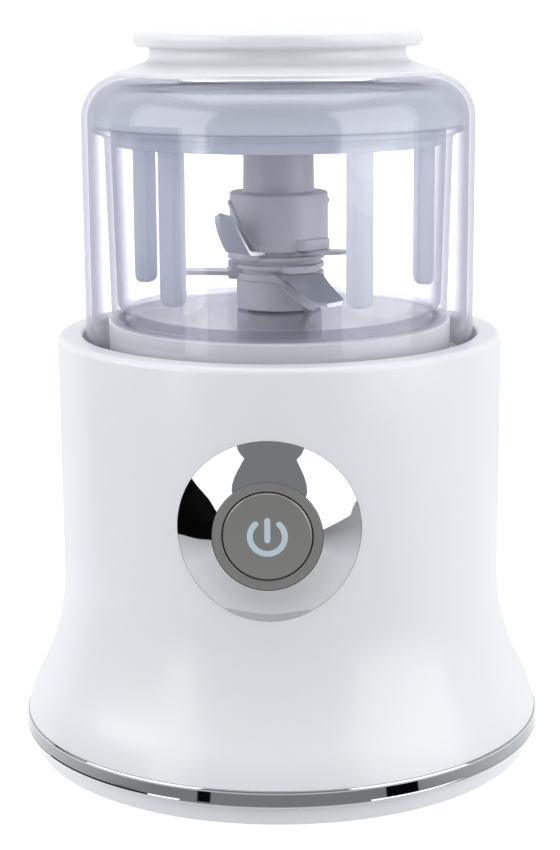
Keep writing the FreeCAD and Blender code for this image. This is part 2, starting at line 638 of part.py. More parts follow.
cup_radius_out = "(bearing_radius + bracket_bar)"
upper_bar_z = "(upper_bearing_z - 1.2)"
bar = box("upper_bar", "hanger_x * 2 + 12", "bar_width", "bracket_bar", z=upper_bar_z)
upper_legs = [box(f"upper_leg_{side}", "leg_wall", "bar_width", f"{upper_bar_z} - {stack_top}",
                  f"{side} * (stack_width - leg_wall) / 2", "0", stack_top) for side in (-1, 1)]
upper_cup = cylinder("upper_cup", cup_radius_out, "bearing_height + 1.6", z=upper_bar_z)
upper_pocket = cylinder("upper_pocket", "bearing_radius", "bearing_height + 4", z="upper_bearing_z")
upper_way = cylinder("upper_way", "shaft_radius + 1.5", "20", z=f"{upper_bar_z} - 5")
upper_bolts = [cylinder(f"upper_bolt_way_{side}", "screw_radius + 0.7", "10",
                        f"{side} * hanger_x", "0", f"{upper_bar_z} - 4") for side in (-1, 1)]
node(cut("upper_bracket_solid", fuse("upper_bracket_block", bar, upper_cup, *upper_legs),
         upper_pocket, upper_way, *upper_bolts), "motor_upper_bracket")

lower_bar_z = "(lower_bearing_z + 2.5)"
lower_along_y = box("lower_along_y", "cross_width", "stack_depth", "bracket_bar", z=lower_bar_z)
lower_along_x = box("lower_along_x", "cross_reach * 2", "cross_width - 2", "bracket_bar",
                    z=lower_bar_z)
lower_legs = [box(f"lower_leg_{side}", "cross_width", "leg_wall", f"stack_bottom - {lower_bar_z}",
                  "0", f"{side} * (stack_depth - leg_wall) / 2", lower_bar_z) for side in (-1, 1)]
holder_bottom = "(commutator_bottom + 1.5)"
holder_posts = [box(f"holder_post_{side}", "holder_width", "holder_width",
                    f"{holder_bottom} - {lower_bar_z}",
                    f"{side} * (cross_reach - holder_width / 2)", "0", lower_bar_z) for side in (-1, 1)]
lower_cup = cylinder("lower_cup", cup_radius_out, "bearing_height + cap_wall",
                     z="lower_bearing_z - cap_wall")
lower_pocket = cylinder("lower_pocket", "bearing_radius", "bearing_height + 4", z="lower_bearing_z")
node(cut("lower_bracket_solid", fuse("lower_bracket_block", lower_along_y, lower_along_x,
                                     lower_cup, *lower_legs, *holder_posts), lower_pocket),
     "motor_lower_bracket")

holders = []
brushes = []
for side in (-1, 1):
    case = box(f"holder_case_{side}", "holder_length", "holder_width", "holder_tall",
               f"{side} * holder_x", "0", holder_bottom)
    way = box(f"holder_way_{side}", "holder_length + 2", "brush_width + 0.2",
              "brush_tall + 0.2", f"{side} * holder_x", "0", f"{holder_bottom} + 1.5")
    holders.append(cut(f"brush_holder_{side}", case, way))
    brush_x = f"{side} * (commutator_radius + brush_gap + brush_length / 2)"
    brushes.append(box(f"brush_{side}", "brush_length", "brush_width", "brush_tall", brush_x, "0",
                       f"{holder_bottom} + 1.6"))
node(group("brush_holders_group", *holders), "brush_holders")
node(group("carbon_brushes_group", *brushes), "carbon_brushes")

dampers = []
bolts = []
for side in (-1, 1):
    x = f"{side} * hanger_x"
    damper_low = f"({upper_bar_z} + bracket_bar)"
    rubber = cylinder(f"damper_rubber_{side}", "damper_radius", f"{boss_bottom} - {damper_low}",
                      x, "0", damper_low)
    rubber_way = cylinder(f"damper_way_{side}", "screw_radius + 0.1", "12", x, "0", upper_bar_z)
    dampers.append(cut(f"damper_{side}", rubber, rubber_way))
    head = cylinder(f"motor_screw_head_{side}", "screw_head", "2", x, "0", f"{upper_bar_z} - 2")
    shank = cylinder(f"motor_screw_shank_{side}", "screw_radius", "17", x, "0", upper_bar_z)
    bolts.append(fuse(f"motor_screw_{side}", head, shank))
node(group("motor_dampers_group", *dampers), "motor_dampers")
node(group("motor_screws_group", *bolts), "motor_screws")

node(tube("seal_ring", "shaft_radius + running_fit", seal_seat, f"{cup_under} + 0.1",
          "cup_floor"), "shaft_seal")

# Control board and cord outlet at the back
board_mid_y = "(board_y + board_depth / 2)"
node(box("board", "board_width", "board_depth", "board_plate", "0", board_mid_y, "board_z"),
     "control_board")
node(box("terminals", "terminal_width", "terminal_depth", "terminal_tall", "0", board_mid_y,
         "board_z + board_plate"), "terminal_block")
grommet_length = "(grommet_outer - grommet_inner)"
plug_body = cylinder("grommet_body", "grommet_radius", grommet_length, "0", "grommet_inner",
                     "grommet_z", along="Y")
plug_bore = cylinder("grommet_bore_way", "grommet_bore", f"{grommet_length} + 2", "0",
                     "grommet_inner - 1", "grommet_z", along="Y")
node(cut("cord_grommet_solid", plug_body, plug_bore), "cord_grommet")

# Coupling: three dogs on the motor shaft drive three dogs under the bowl -----------------
coupler_disc_top = "(coupler_bottom + coupler_disc)"
dog_outer = "(coupler_radius - 0.2)"
disc = cylinder("coupler_disc_solid", "coupler_radius", "coupler_disc", z="coupler_bottom")
drive_dogs = [sector(f"drive_dog_{angle}", "dog_inner", dog_outer, "dog_height + 0.2",
                     f"{coupler_disc_top} - 0.2", angle, "dog_angle") for angle in (0, 120, 240)]
shaft_socket = cylinder("shaft_socket", "shaft_radius", "coupler_disc - 0.4", z="coupler_bottom")
node(cut("drive_coupler_solid", fuse("coupler_block", disc, *drive_dogs), shaft_socket),
     "drive_coupler")

# Bowl with its captive spindle -------------------------------------------------------------
bowl_floor_top = "(bowl_bottom + bowl_floor)"
rim_low = "(bowl_rim - rim_flange)"
foot_outer = f"({drum_inner} - 0.6)"
foot_low = f"({deck_top} + dog_gap)"
bowl_body = turned("bowl_turned", [
    ("bush_radius", "bowl_bottom"),
    (f"{foot_outer} - 2.2", "bowl_bottom"),
    (f"{foot_outer} - 2.2", foot_low),
    (foot_outer, foot_low),
    (foot_outer, "bowl_bottom"),
    ("bowl_foot_radius", "bowl_bottom"),
    ("bowl_top_radius", rim_low),
    ("rim_radius", rim_low),
    ("rim_radius", "bowl_rim"),
    ("bowl_top_radius - bowl_wall", "bowl_rim"),
    ("bowl_foot_radius - bowl_wall", bowl_floor_top),
    ("bush_radius", bowl_floor_top),
])
rounded(bowl_body, "bowl_floor * 0.7", ("bowl_foot_radius - bowl_wall", bowl_floor_top))
node(bowl_body, "bowl")

bush_top = f"({bowl_floor_top} + 0.2)"
seal_radius = "(shaft_radius + 2)"
node(turned("bush_turned", [
    ("shaft_radius + running_fit", "bush_bottom"),
    ("bush_radius", "bush_bottom"),
    ("bush_radius", bush_top),
    (seal_radius, bush_top),
    (seal_radius, f"{bush_top} - 2"),
    ("shaft_radius + running_fit", f"{bush_top} - 2"),
]), "spindle_bush")
node(tube("spindle_seal_turned", "shaft_radius + running_fit", seal_radius, f"{bush_top} - 2",
          bush_top), "spindle_seal")

spindle_disc_low = f"({coupler_disc_top} + dog_height + dog_gap)"
spindle_rod = cylinder("spindle_rod", "shaft_radius", f"spindle_top - {spindle_disc_low}",
                       z=spindle_disc_low)
spindle_disc = cylinder("spindle_disc", "coupler_radius - 0.4",
                        f"bush_bottom - 0.5 - {spindle_disc_low}", z=spindle_disc_low)
driven_dogs = [sector(f"driven_dog_{angle}", "dog_inner", dog_outer, "dog_height + 0.4",
                      f"{coupler_disc_top} + dog_gap - 0.2", angle, "dog_angle")
               for angle in (60, 180, 300)]
drive_head = box("drive_head", "drive_square", "drive_square", "spindle_top - hub_bottom - 3",
                 z="hub_bottom + 3")
node(fuse("bowl_spindle_solid", spindle_rod, spindle_disc, drive_head, *driven_dogs),
     "bowl_spindle")
node(tube("circlip_turned", "shaft_radius", "shaft_radius + 1.8", f"{bush_top} + 0.3",
          f"{bush_top} + 1.1"), "spindle_circlip")

# Blade unit ----------------------------------------------------------------------------------
hub_turned = turned("hub_turned", [
    ("0", "spindle_top + 1"),
    ("drive_square", "spindle_top + 1"),
    ("drive_square", "hub_bottom + 3"),
    ("bush_radius + 0.7", "hub_bottom + 2.4"),
    ("bush_radius + 0.7", "hub_bottom"),
    ("hub_lower", "hub_bottom"),
    ("hub_lower", "hub_step"),
    ("hub_upper", "hub_step"),
    ("hub_upper", "hub_top"),
    ("hub_stem", "hub_top"),
    ("hub_stem", "stem_top"),
    ("0", "stem_top"),
])
drive_core = cylinder("drive_core", "drive_square + 0.4", "spindle_top - hub_bottom - 5",
                      z="hub_bottom + 6")
drive_way = box("drive_way", "drive_square + 0.8", "drive_square + 0.8",
                "spindle_top - hub_bottom", z="hub_bottom + 1")


def wing(angle, lift, height):
    """One wing of a sickle blade: a curved steel strip that leaves the hub at an angle and
    tips up or down along its own root line."""
    root, tip = value("hub_lower") - 6, value("blade_radius")
    half, steel = value("blade_width") / 2, value("blade_steel")
    bend = value("hub_upper") + 0.5
    low = -steel / 2

    def spot(x, y):
        return FreeCAD.Vector(x, y, low)

    def strip(corners):
        edges = []
        for index, item in enumerate(corners):
            start, end = item[0], corners[(index + 1) % len(corners)][0]
            if len(item) == 2:
                edges.append(Part.Arc(start, item[1], end).toShape())
            else:
                edges.append(Part.LineSegment(start, end).toShape())
        return Part.Face(Part.Wire(edges)).extrude(FreeCAD.Vector(0, 0, steel))

    neck = half * 0.9
    flat = strip([(spot(root, -neck),), (spot(bend, -neck),), (spot(bend, neck),),
                  (spot(root, neck),)])
    middle = (bend + tip) / 2
    blade = strip([
        (spot(bend, -neck), spot(middle, -half * 0.95)),
        (spot(tip, half * 0.55), ),
        (spot(tip - 3, half * 1.05), spot(middle, half * 1.1)),
        (spot(bend, neck),),
    ])
    blade.rotate(FreeCAD.Vector(bend, 0, 0), FreeCAD.Vector(0, 1, 0), -lift)
    filler = Part.makeCylinder(steel / 2, 2 * neck, FreeCAD.Vector(bend, -neck, 0),
                               FreeCAD.Vector(0, 1, 0))
    piece = flat.fuse([blade, filler]) if lift else flat.fuse(blade)
    piece.rotate(FreeCAD.Vector(0, 0, 0), FreeCAD.Vector(0, 0, 1), angle)
    piece.translate(FreeCAD.Vector(0, 0, height))
    return piece


def blade(name, height, wings):
    """A steel ring round the drive core with two wings."""
    steel, inner = value("blade_steel"), value("drive_square + 0.4")
    low = FreeCAD.Vector(0, 0, value(height) - steel / 2)
    ring = Part.makeCylinder(value("hub_lower") - 1.5, steel, low)
    ring = ring.fuse([wing(angle, lift, value(height)) for angle, lift in wings])
    ring = ring.cut(Part.makeCylinder(inner, steel * 3, low - FreeCAD.Vector(0, 0, steel)))
    made = doc.addObject("Part::Feature", name)
    made.Shape = ring.removeSplitter()
    made.Placement = FreeCAD.Placement()
    return made


upper = blade("upper_sickle", "upper_blade_z", ((222, 56), (315, 5)))
lower = blade("lower_sickle", "lower_blade_z", ((184, 2), (300, -30)))
node(cut("blade_hub_solid", fuse("hub_block", hub_turned, drive_core), drive_way, upper, lower),
     "blade_hub")
node(upper, "upper_blade")
node(lower, "lower_blade")

# Inner lid with five baffle ribs ---------------------------------------------------------------
lid_bottom = "(bowl_rim + lid_gap)"
lid_under = "(lid_top - lid_plate)"
skirt_outer = "(bowl_top_radius - bowl_wall - socket_gap)"
skirt_inner = f"({skirt_outer} - lid_wall)"
socket_inner = "(hub_stem + socket_gap)"
socket_outer = f"({socket_inner} + socket_wall)"
lid_turned = turned("lid_turned", [
    ("0", lid_under),
    (socket_inner, lid_under),
    (socket_inner, "lid_skirt_bottom"),
    (socket_outer, "lid_skirt_bottom"),
    (socket_outer, lid_under),
    (skirt_inner, lid_under),
    (skirt_inner, "lid_skirt_bottom"),
    (skirt_outer, "lid_skirt_bottom"),
    (skirt_outer, f"{lid_bottom} + 3"),
    ("lid_radius - lid_wall", f"{lid_bottom} + 3"),
    ("lid_radius - lid_wall", lid_bottom),
    ("lid_radius", lid_bottom),
    ("lid_radius", "lid_top"),
    ("0", "lid_top"),
])
rounded(lid_turned, "lid_round", ("lid_radius", "lid_top"))
RIB_START = 303
ribs = [spoke(f"rib_{step}", "rib_outer - rib_depth", "rib_outer", "rib_width",
              f"{lid_under} - rib_bottom + 0.5", "rib_bottom", RIB_START - 72 * step)
        for step in range(5)]
node(fuse("baffle_lid_solid", lid_turned, *ribs), "baffle_lid")
node(tube("gasket_turned", f"{skirt_outer} + 0.1", "lid_radius - lid_wall - 0.1",
          f"{lid_bottom} + 0.6", f"{lid_bottom} + 3"), "lid_gasket")

# Outer dome and its grip --------------------------------------------------------------------------
dome_inner = "(dome_radius - dome_wall)"
round_z = "(dome_top - dome_round)"
round_x = "(dome_radius - dome_round)"
dome_turned = turned("dome_turned", [
    (dome_inner, "dome_bottom"),
    ("dome_radius", "dome_bottom"),
    ("dome_radius", round_z, "dome_round"),
    (round_x, "dome_top"),
    ("0", "dome_top"),
    ("0", "dome_top - dome_wall"),
    (round_x, "dome_top - dome_wall", "-(dome_round - dome_wall)"),
    (dome_inner, round_z),
])
lugs = [sector(f"lug_{angle}", f"{dome_inner} - lug_reach", f"{dome_inner} + 0.4", "lug_height",
               "dome_bottom", angle, "lug_angle") for angle in LUG_ANGLES]
KEY_ANGLES = (70, 190, 310)
key_ways = [sector(f"key_way_{angle}", f"{dome_inner} - 1", "dome_radius + 1",
                   "key_rise + 1.4", "dome_bottom - 1", angle, "key_angle + 2 * key_gap")
            for angle in KEY_ANGLES]
node(cut("cover_dome_solid", fuse("dome_with_lugs", dome_turned, *lugs), *key_ways),
     "cover_dome")

flange_mid = "(grip_top - grip_edge / 2)"
skirt_z = f"({round_z} + sqrt(dome_round^2 - (grip_skirt - {round_x})^2))"
edge_x = "(grip_flange - grip_edge / 2)"
grip_hollow = "(grip_neck - grip_wall)"
grip = turned("grip_turned", [
    ("0", "dome_top"),
    (round_x, "dome_top", "-dome_round"),
    ("grip_skirt", skirt_z),
    ("grip_skirt - 0.4", f"{skirt_z} + 1.2"),
    ("grip_neck + 6", "dome_top + 1.7", "-11"),
    ("grip_neck", "dome_top + 5.2"),
    ("grip_neck + 0.8", "grip_top - grip_edge"),
    (edge_x, "grip_top - grip_edge", "grip_edge / 2 + 0.001"),
    (edge_x, "grip_top"),
    ("grip_boss", "grip_top"),
    ("grip_boss - 0.6", "grip_top + boss_rise"),
    ("0", "grip_top + boss_rise"),
])
grip_room = turned("grip_room", [
    ("5", "dome_top - 1"),
    (grip_hollow, "dome_top - 1"),
    (grip_hollow, "grip_top - grip_wall"),
    ("5", "grip_top - grip_wall"),
])
node(cut("cover_grip_solid", grip, grip_room), "cover_grip")

# Ring under the dome: the dome's keys turn it, and its tab closes the interlock switch
ring_low = "(well_floor + ring_play)"
ring_top = f"({ring_low} + ring_plate)"
ring = tube("ring_turned", "drum_radius + 0.6", "well_radius - 0.5", ring_low, ring_top)
keys = [sector(f"key_{angle}", f"{dome_inner} + 0.2", "dome_radius - 0.2",
               f"dome_bottom + key_rise - 0.6 - {ring_low}", ring_low, angle, "key_angle")
        for angle in KEY_ANGLES]
tab = sector("ring_tab", "drum_radius + tab_offset", "well_radius - 1.6", "7.5",
             f"{ring_low} - 7", TAB_ANGLE, "key_angle - 2")
node(fuse("interlock_ring_solid", ring, tab, *keys), "interlock_ring")

switch_angle = 66
interlock = spoke("interlock_body", "drum_radius + 1.4", "well_radius + 0.5", "16",
                  "9", f"{seat_under} - 9", switch_angle)
lever = sector("interlock_lever", "drum_radius + 3.4", "well_radius - 1.5", "4",
               f"{seat_under} - 6", f"{TAB_ANGLE} - twist_angle - 9", "9")
node(fuse("interlock_switch_solid", interlock, lever), "interlock_switch")

# Check every object, then write one file per sub-part -----------------------------------------------
doc.recompute()
for obj in doc.Objects:
    if "Invalid" in obj.State or "Error" in obj.State:
        raise RuntimeError(f"{obj.Name} failed: {obj.State}")
os.makedirs("parts", exist_ok=True)
for part in nodes:
    if part.Shape.isNull() or not part.Shape.isValid():
        raise RuntimeError(f"{part.Label} has no valid shape")
    part.Shape.exportStep(os.path.join("parts", part.Label + ".step"))
    print(f"{part.Label}: {len(part.Shape.Solids)} solid(s), {part.Shape.Volume / 1000:.2f} cm3")
print(len(nodes), "nodes")
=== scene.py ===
import json
import math

import bmesh
import bpy
from mathutils import Matrix, Vector


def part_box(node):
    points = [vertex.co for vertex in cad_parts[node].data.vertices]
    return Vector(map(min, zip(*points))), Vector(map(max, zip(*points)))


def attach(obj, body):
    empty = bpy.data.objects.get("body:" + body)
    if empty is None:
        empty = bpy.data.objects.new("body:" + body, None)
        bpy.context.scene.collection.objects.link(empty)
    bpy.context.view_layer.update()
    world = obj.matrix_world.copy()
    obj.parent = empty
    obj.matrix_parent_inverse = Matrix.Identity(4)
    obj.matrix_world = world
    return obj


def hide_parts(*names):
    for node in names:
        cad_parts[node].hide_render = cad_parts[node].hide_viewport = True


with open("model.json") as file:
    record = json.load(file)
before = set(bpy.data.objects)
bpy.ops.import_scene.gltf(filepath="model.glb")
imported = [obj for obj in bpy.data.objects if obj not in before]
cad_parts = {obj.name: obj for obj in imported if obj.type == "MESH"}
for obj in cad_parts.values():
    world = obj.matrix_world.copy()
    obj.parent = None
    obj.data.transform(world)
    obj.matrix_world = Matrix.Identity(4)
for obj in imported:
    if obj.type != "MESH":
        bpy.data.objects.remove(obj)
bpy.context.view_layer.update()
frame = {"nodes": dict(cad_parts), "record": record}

MM = 0.001
AROUND = 192          # facets round a turned piece
AROUND_LARGE = 256    # facets round the largest ones
SHARP = 32            # degrees; a bend tighter than this is drawn as an edge
ON_AXIS = 1e-6        # mm; a point nearer the axis than this is a pole
scene = bpy.context.scene


# Meshes --------------------------------------------------------------------------------

def keep(name, bm, body, replaced=(), sharp=SHARP):
    """Turns a bmesh in millimetres into a finished piece that rides on a body."""
    bmesh.ops.scale(bm, vec=(MM, MM, MM), verts=bm.verts)
    mesh = bpy.data.meshes.new(name)
    bm.to_mesh(mesh)
    bm.free()
    mesh.shade_smooth()
    mesh.set_sharp_from_angle(angle=math.radians(sharp))
    piece = bpy.data.objects.new(name, mesh)
    scene.collection.objects.link(piece)
    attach(piece, body)
    if replaced:
        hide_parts(*replaced)
    return piece


def softened(corners, closed=True, arc_steps=6):
    """A section with its corners rounded: each corner is (radius, height) or
    (radius, height, rounding)."""
    most = 0.49       # of an edge, so that the roundings at its two ends don't meet
    points = []
    count = len(corners)
    for index, corner in enumerate(corners):
        here = Vector(corner[:2])
        rounding = corner[2] if len(corner) > 2 else 0
        if not rounding or (not closed and index in (0, count - 1)):
            points.append(tuple(here))
            continue
        before = Vector(corners[index - 1][:2]) - here
        after = Vector(corners[(index + 1) % count][:2]) - here
        half = before.angle(after) / 2
        reach = rounding / math.tan(half)
        reach = min(reach, before.length * most, after.length * most)
        radius = reach * math.tan(half)
        bisector = (before.normalized() + after.normalized()).normalized()
        centre = here + bisector * (radius / math.sin(half))
        start = here + before.normalized() * reach - centre
        end = here + after.normalized() * reach - centre
        sweep = start.angle_signed(end)
        for step in range(arc_steps + 1):
            turn = Matrix.Rotation(-sweep * step / arc_steps, 2)
            points.append(tuple(centre + turn @ start))
    return points


def lathe(bm, section, around=AROUND):
    """Turns a closed section about Z; points on the axis become one pole vertex."""
    rings = []
    for radius, height in section:
        if radius < ON_AXIS:
            rings.append([bm.verts.new((0, 0, height))])
            continue
        ring = []
        for step in range(around):
            angle = 2 * math.pi * step / around
            ring.append(bm.verts.new((radius * math.cos(angle), radius * math.sin(angle),
                                      height)))
        rings.append(ring)
    for low, high in zip(rings, rings[1:] + rings[:1]):
        if len(low) == 1 and len(high) == 1:
            continue
        for step in range(around):
            after = (step + 1) % around
            if len(low) == 1:
                bm.faces.new((low[0], high[after], high[step]))
            elif len(high) == 1:
                bm.faces.new((low[step], low[after], high[0]))
            else:
                bm.faces.new((low[step], low[after], high[after], high[step]))
    bmesh.ops.recalc_face_normals(bm, faces=bm.faces)


def bridge(bm, rings):
    """Faces between each ring of points and the next, all the way round."""
    for first, second in zip(rings, rings[1:]):
        for index in range(len(first)):
            after = (index + 1) % len(first)
            bm.faces.new((first[index], first[after], second[after], second[index]))


def turned(name, corners, body, replaced=(), around=AROUND, place=None, steps=6):
    """A piece turned from a section with rounded corners, and then put in its place."""
    bm = bmesh.new()
    lathe(bm, softened(corners, arc_steps=steps), around)
    if place is not None:
        bmesh.ops.transform(bm, matrix=place, verts=bm.verts)
    return keep(name, bm, body, replaced)


def arc(centre, radius, start, end, steps=24):
    """Points of an arc in the section, by angles in degrees from the radial direction."""
    points = []
    for step in range(steps + 1):
        angle = math.radians(start + (end - start) * step / steps)
        points.append((centre[0] + radius * math.cos(angle),
                       centre[1] + radius * math.sin(angle)))
    return points


def carved(piece, cutter):
    """Cuts one mesh out of a piece and keeps the result as its plain mesh."""
    cutting = piece.modifiers.new("carve", "BOOLEAN")
    cutting.object = cutter
    cutting.operation = "DIFFERENCE"
    cutting.solver = "EXACT"
    shown = piece.evaluated_get(bpy.context.evaluated_depsgraph_get())
    result = bpy.data.meshes.new_from_object(shown)
    piece.modifiers.clear()
    piece.data = result
    bpy.data.objects.remove(cutter)
    result.shade_smooth()
    result.set_sharp_from_angle(angle=math.radians(SHARP))


def loose_cylinder(radius, length, matrix, around=96):
    """A cutter that never becomes a piece."""
    bm = bmesh.new()
    bmesh.ops.create_cone(bm, cap_ends=True, segments=around, radius1=radius * MM,
                          radius2=radius * MM, depth=length * MM)
    bmesh.ops.transform(bm, matrix=matrix, verts=bm.verts)
    mesh = bpy.data.meshes.new("cutter")
    bm.to_mesh(mesh)
    bm.free()
    cutter = bpy.data.objects.new("cutter", mesh)
    scene.collection.objects.link(cutter)
    return cutter


# Sizes in millimetres, from the frame where its boxes give them ------------------------

def reach(node):
    """Largest radius, lowest and highest height of a node."""
    low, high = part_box(node)
    return max(high[0], -low[0]) / MM, low[2] / MM, high[2] / MM


def half_width(node):
    """Radius of a round node that isn't centred on the Z axis."""
    low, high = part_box(node)
    return (high[0] - low[0]) / 2 / MM


def faces(node):
    """How far a node's front and back lie in front of the axis."""
    low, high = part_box(node)
    return -low[1] / MM, -high[1] / MM


dome_radius, dome_low, dome_top = reach("cover_dome")
grip_top = reach("cover_grip")[2]
rim_radius, bowl_low, bowl_rim = reach("bowl")
lid_radius, rib_low, lid_top = reach("baffle_lid")
trim_radius, trim_low, trim_top = reach("chrome_trim_ring")
plate_low = reach("base_plate")[1]
hub_low, hub_top = reach("blade_hub")[1:]
shell_low, shell_top = reach("base_housing")[1:]
button_low, button_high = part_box("push_button")
button_height = (button_low[2] + button_high[2]) / 2 / MM
button_radius = half_width("push_button")
button_face, stem_end = faces("push_button")
bezel_radius = half_width("button_bezel")
wall_radius = 67.05     # the base's straight wall, which is inside its node's box
trim_wall = 3.0         # thickness of the chrome ring
bowl_wall = 2.0
bowl_floor = 136.2      # underside of the bowl's floor
rim_flange = 1.7        # thickness of the flange round the bowl's rim
dome_wall, dome_round = 1.9, 13.0
FRONT = Matrix.Translation((0, 0, button_height)) @ Matrix.Rotation(math.radians(90), 4, "X")


# Materials -----------------------------------------------------------------------------

def linear(text):
    """An sRGB hex colour as linear RGBA."""
    channels = [int(text[i:i + 2], 16) / 255 for i in (1, 3, 5)]
    return tuple(c / 12.92 if c <= 0.04045 else ((c + 0.055) / 1.055) ** 2.4
                 for c in channels) + (1.0,)


def add(tree, kind, settings=None, links=None):
    """Adds a node; settings name its properties or inputs, links name input to output socket."""
    made = tree.nodes.new(kind)
    for key, setting in (settings or {}).items():
        if isinstance(key, str) and hasattr(made, key):
            setattr(made, key, setting)
        else:
            made.inputs[key].default_value = setting
    for key, socket in (links or {}).items():
        tree.links.new(socket, made.inputs[key])
    return made


def material(name, colour, settings=None, grain_mm=0.4, grain=0.0, bump_um=0.0, cloudy=0.0,
             stretch=(1, 1, 1)):
    """A Principled material with three real effects of its process: roughness that wanders by
    grain, relief of bump_um micrometres, and a faint drift of colour about 25 mm across."""
    drift_mm = 25.0
    made = bpy.data.materials.new(name)
    made.use_nodes = True
    tree = made.node_tree
    shader = tree.nodes["Principled BSDF"]
    shader.inputs["Base Color"].default_value = linear(colour)
    for key, setting in (settings or {}).items():
        shader.inputs[key].default_value = setting
    place = add(tree, "ShaderNodeTexCoord")
    spread = add(tree, "ShaderNodeMapping", {"Scale": stretch},
                 {"Vector": place.outputs["Object"]})
    fine = add(tree, "ShaderNodeTexNoise",
               {"Scale": 1 / (grain_mm * MM), "Detail": 3.0, "Roughness": 0.6},
               {"Vector": spread.outputs["Vector"]})
    if grain:
        base = shader.inputs["Roughness"].default_value
        wander = add(tree, "ShaderNodeMapRange",
                     {"To Min": max(base - grain, 0.01), "To Max": base + grain},
                     {"Value": fine.outputs["Fac"]})
        tree.links.new(wander.outputs["Result"], shader.inputs["Roughness"])
    if bump_um:
        relief = add(tree, "ShaderNodeBump", {"Strength": 1.0, "Distance": bump_um * 1e-6},
                     {"Height": fine.outputs["Fac"]})
        tree.links.new(relief.outputs["Normal"], shader.inputs["Normal"])
    if cloudy:
        broad = add(tree, "ShaderNodeTexNoise", {"Scale": 1000 / drift_mm, "Detail": 2.0},
                    {"Vector": place.outputs["Object"]})
        tones = add(tree, "ShaderNodeValToRGB", None, {"Fac": broad.outputs["Fac"]})
        shade = linear(colour)
        tones.color_ramp.elements[0].color = tuple(c * (1 - cloudy) for c in shade[:3]) + (1,)
        tones.color_ramp.elements[1].color = shade
        tree.links.new(tones.outputs["Color"], shader.inputs["Base Color"])
    return made


def clear_plastic(name, tint, edge_tint, haze):
    """Clear moulding of even wall, drawn as a thin wall that doesn't bend the light: it passes
    with a slight tint that deepens where the wall is seen edge on, under a polished surface
    that mirrors more the flatter it is seen."""
    tint_from, haze_from, haze_most = 0.55, 0.6, 0.5   # how edge on, from 0 to 1, and how much
    mirror_least, mirror_most, mirror_rise = 0.03, 0.75, 5.0
    made = material(name, haze, {"Roughness": 0.12, "IOR": 1.5}, grain_mm=14.0, grain=0.02)
    tree = made.node_tree
    body = tree.nodes["Principled BSDF"]
    slant = add(tree, "ShaderNodeLayerWeight", {"Blend": 0.5})
    depth = add(tree, "ShaderNodeValToRGB", None, {"Fac": slant.outputs["Facing"]})
    depth.color_ramp.elements[0].color = linear(tint)
    depth.color_ramp.elements[0].position = tint_from
    depth.color_ramp.elements[1].color = linear(edge_tint)
    through = add(tree, "ShaderNodeBsdfTransparent", None, {"Color": depth.outputs["Color"]})
    edge = add(tree, "ShaderNodeMapRange",
               {"From Min": haze_from, "From Max": 1.0, "To Min": 0.0, "To Max": haze_most},
               {"Value": slant.outputs["Facing"]})
    wall = add(tree, "ShaderNodeMixShader", None,
               {0: edge.outputs["Result"], 1: through.outputs["BSDF"], 2: body.outputs["BSDF"]})
    mirror = add(tree, "ShaderNodeBsdfGlossy", {"Roughness": 0.02, "Color": (1, 1, 1, 1)})
    rise = add(tree, "ShaderNodeMath", {"operation": "POWER", 1: mirror_rise},
               {0: slant.outputs["Facing"]})
    strength = add(tree, "ShaderNodeMapRange", {"To Min": mirror_least, "To Max": mirror_most},
                   {"Value": rise.outputs["Value"]})
    polished = add(tree, "ShaderNodeMixShader", None,
                   {0: strength.outputs["Result"], 1: wall.outputs["Shader"],
                    2: mirror.outputs["BSDF"]})
    tree.links.new(polished.outputs["Shader"], tree.nodes["Material Output"].inputs["Surface"])
    return made


def milky_plastic(name, colour, glow):
    """Translucent moulding: part of the light scatters back and part comes through."""
    through = 0.6
    made = material(name, colour, {"Roughness": 0.28, "IOR": 1.49}, grain_mm=0.8, grain=0.06,
                    bump_um=3.0)
    tree = made.node_tree
    body = tree.nodes["Principled BSDF"]
    lit = add(tree, "ShaderNodeBsdfTranslucent", {"Color": linear(glow)})
    mixed = add(tree, "ShaderNodeMixShader", {0: through},
                {1: body.outputs["BSDF"], 2: lit.outputs["BSDF"]})
    tree.links.new(mixed.outputs["Shader"], tree.nodes["Material Output"].inputs["Surface"])
    return made


# Injection-moulded ABS, high gloss: a hard white shell with very faint flow waves.
white_abs = material("moulded_gloss_abs_white", "#dddfe2",
                     {"Roughness": 0.3, "IOR": 1.5, "Coat Weight": 0.25, "Coat Roughness": 0.16},
                     grain_mm=6.0, grain=0.03, bump_um=5.0)
# The same ABS with a fine spark-eroded texture, as on the tray that faces the table.
tray_abs = material("moulded_textured_abs_white", "#dfe1e3", {"Roughness": 0.42, "IOR": 1.53},
                    grain_mm=0.5, grain=0.08, bump_um=14.0)
# Chromed ABS: bright plating over moulded plastic, a trace of orange peel.
chromed_abs = material("plated_chrome_on_abs", "#b9bbbd", {"Metallic": 1.0, "Roughness": 0.04},
                       grain_mm=2.5, grain=0.015, bump_um=0.6)
# Metallic paint, satin: fine flakes under a dull lacquer.
satin_grey = material("satin_metallic_paint_grey", "#8c8c89",
                      {"Metallic": 0.55, "Roughness": 0.38},
                      grain_mm=0.35, grain=0.1, bump_um=4.0, cloudy=0.03)
# Pad-printed symbol under lacquer, slightly raised.
icon_print = material("printed_symbol_ice_blue", "#b9c9d2", {"Roughness": 0.32},
                      grain_mm=0.3, grain=0.06, bump_um=2.0)
# SAN, injection moulded and polished: clear with a cool violet cast where the wall is seen
# edge on.
clear_san = clear_plastic("moulded_clear_san", "#fefeff", "#b9b9cb", "#d3d3de")
# Natural polypropylene: milky, scatters the light that passes.
milky_pp = milky_plastic("moulded_milky_polypropylene", "#e0e4ea", "#eef0f6")
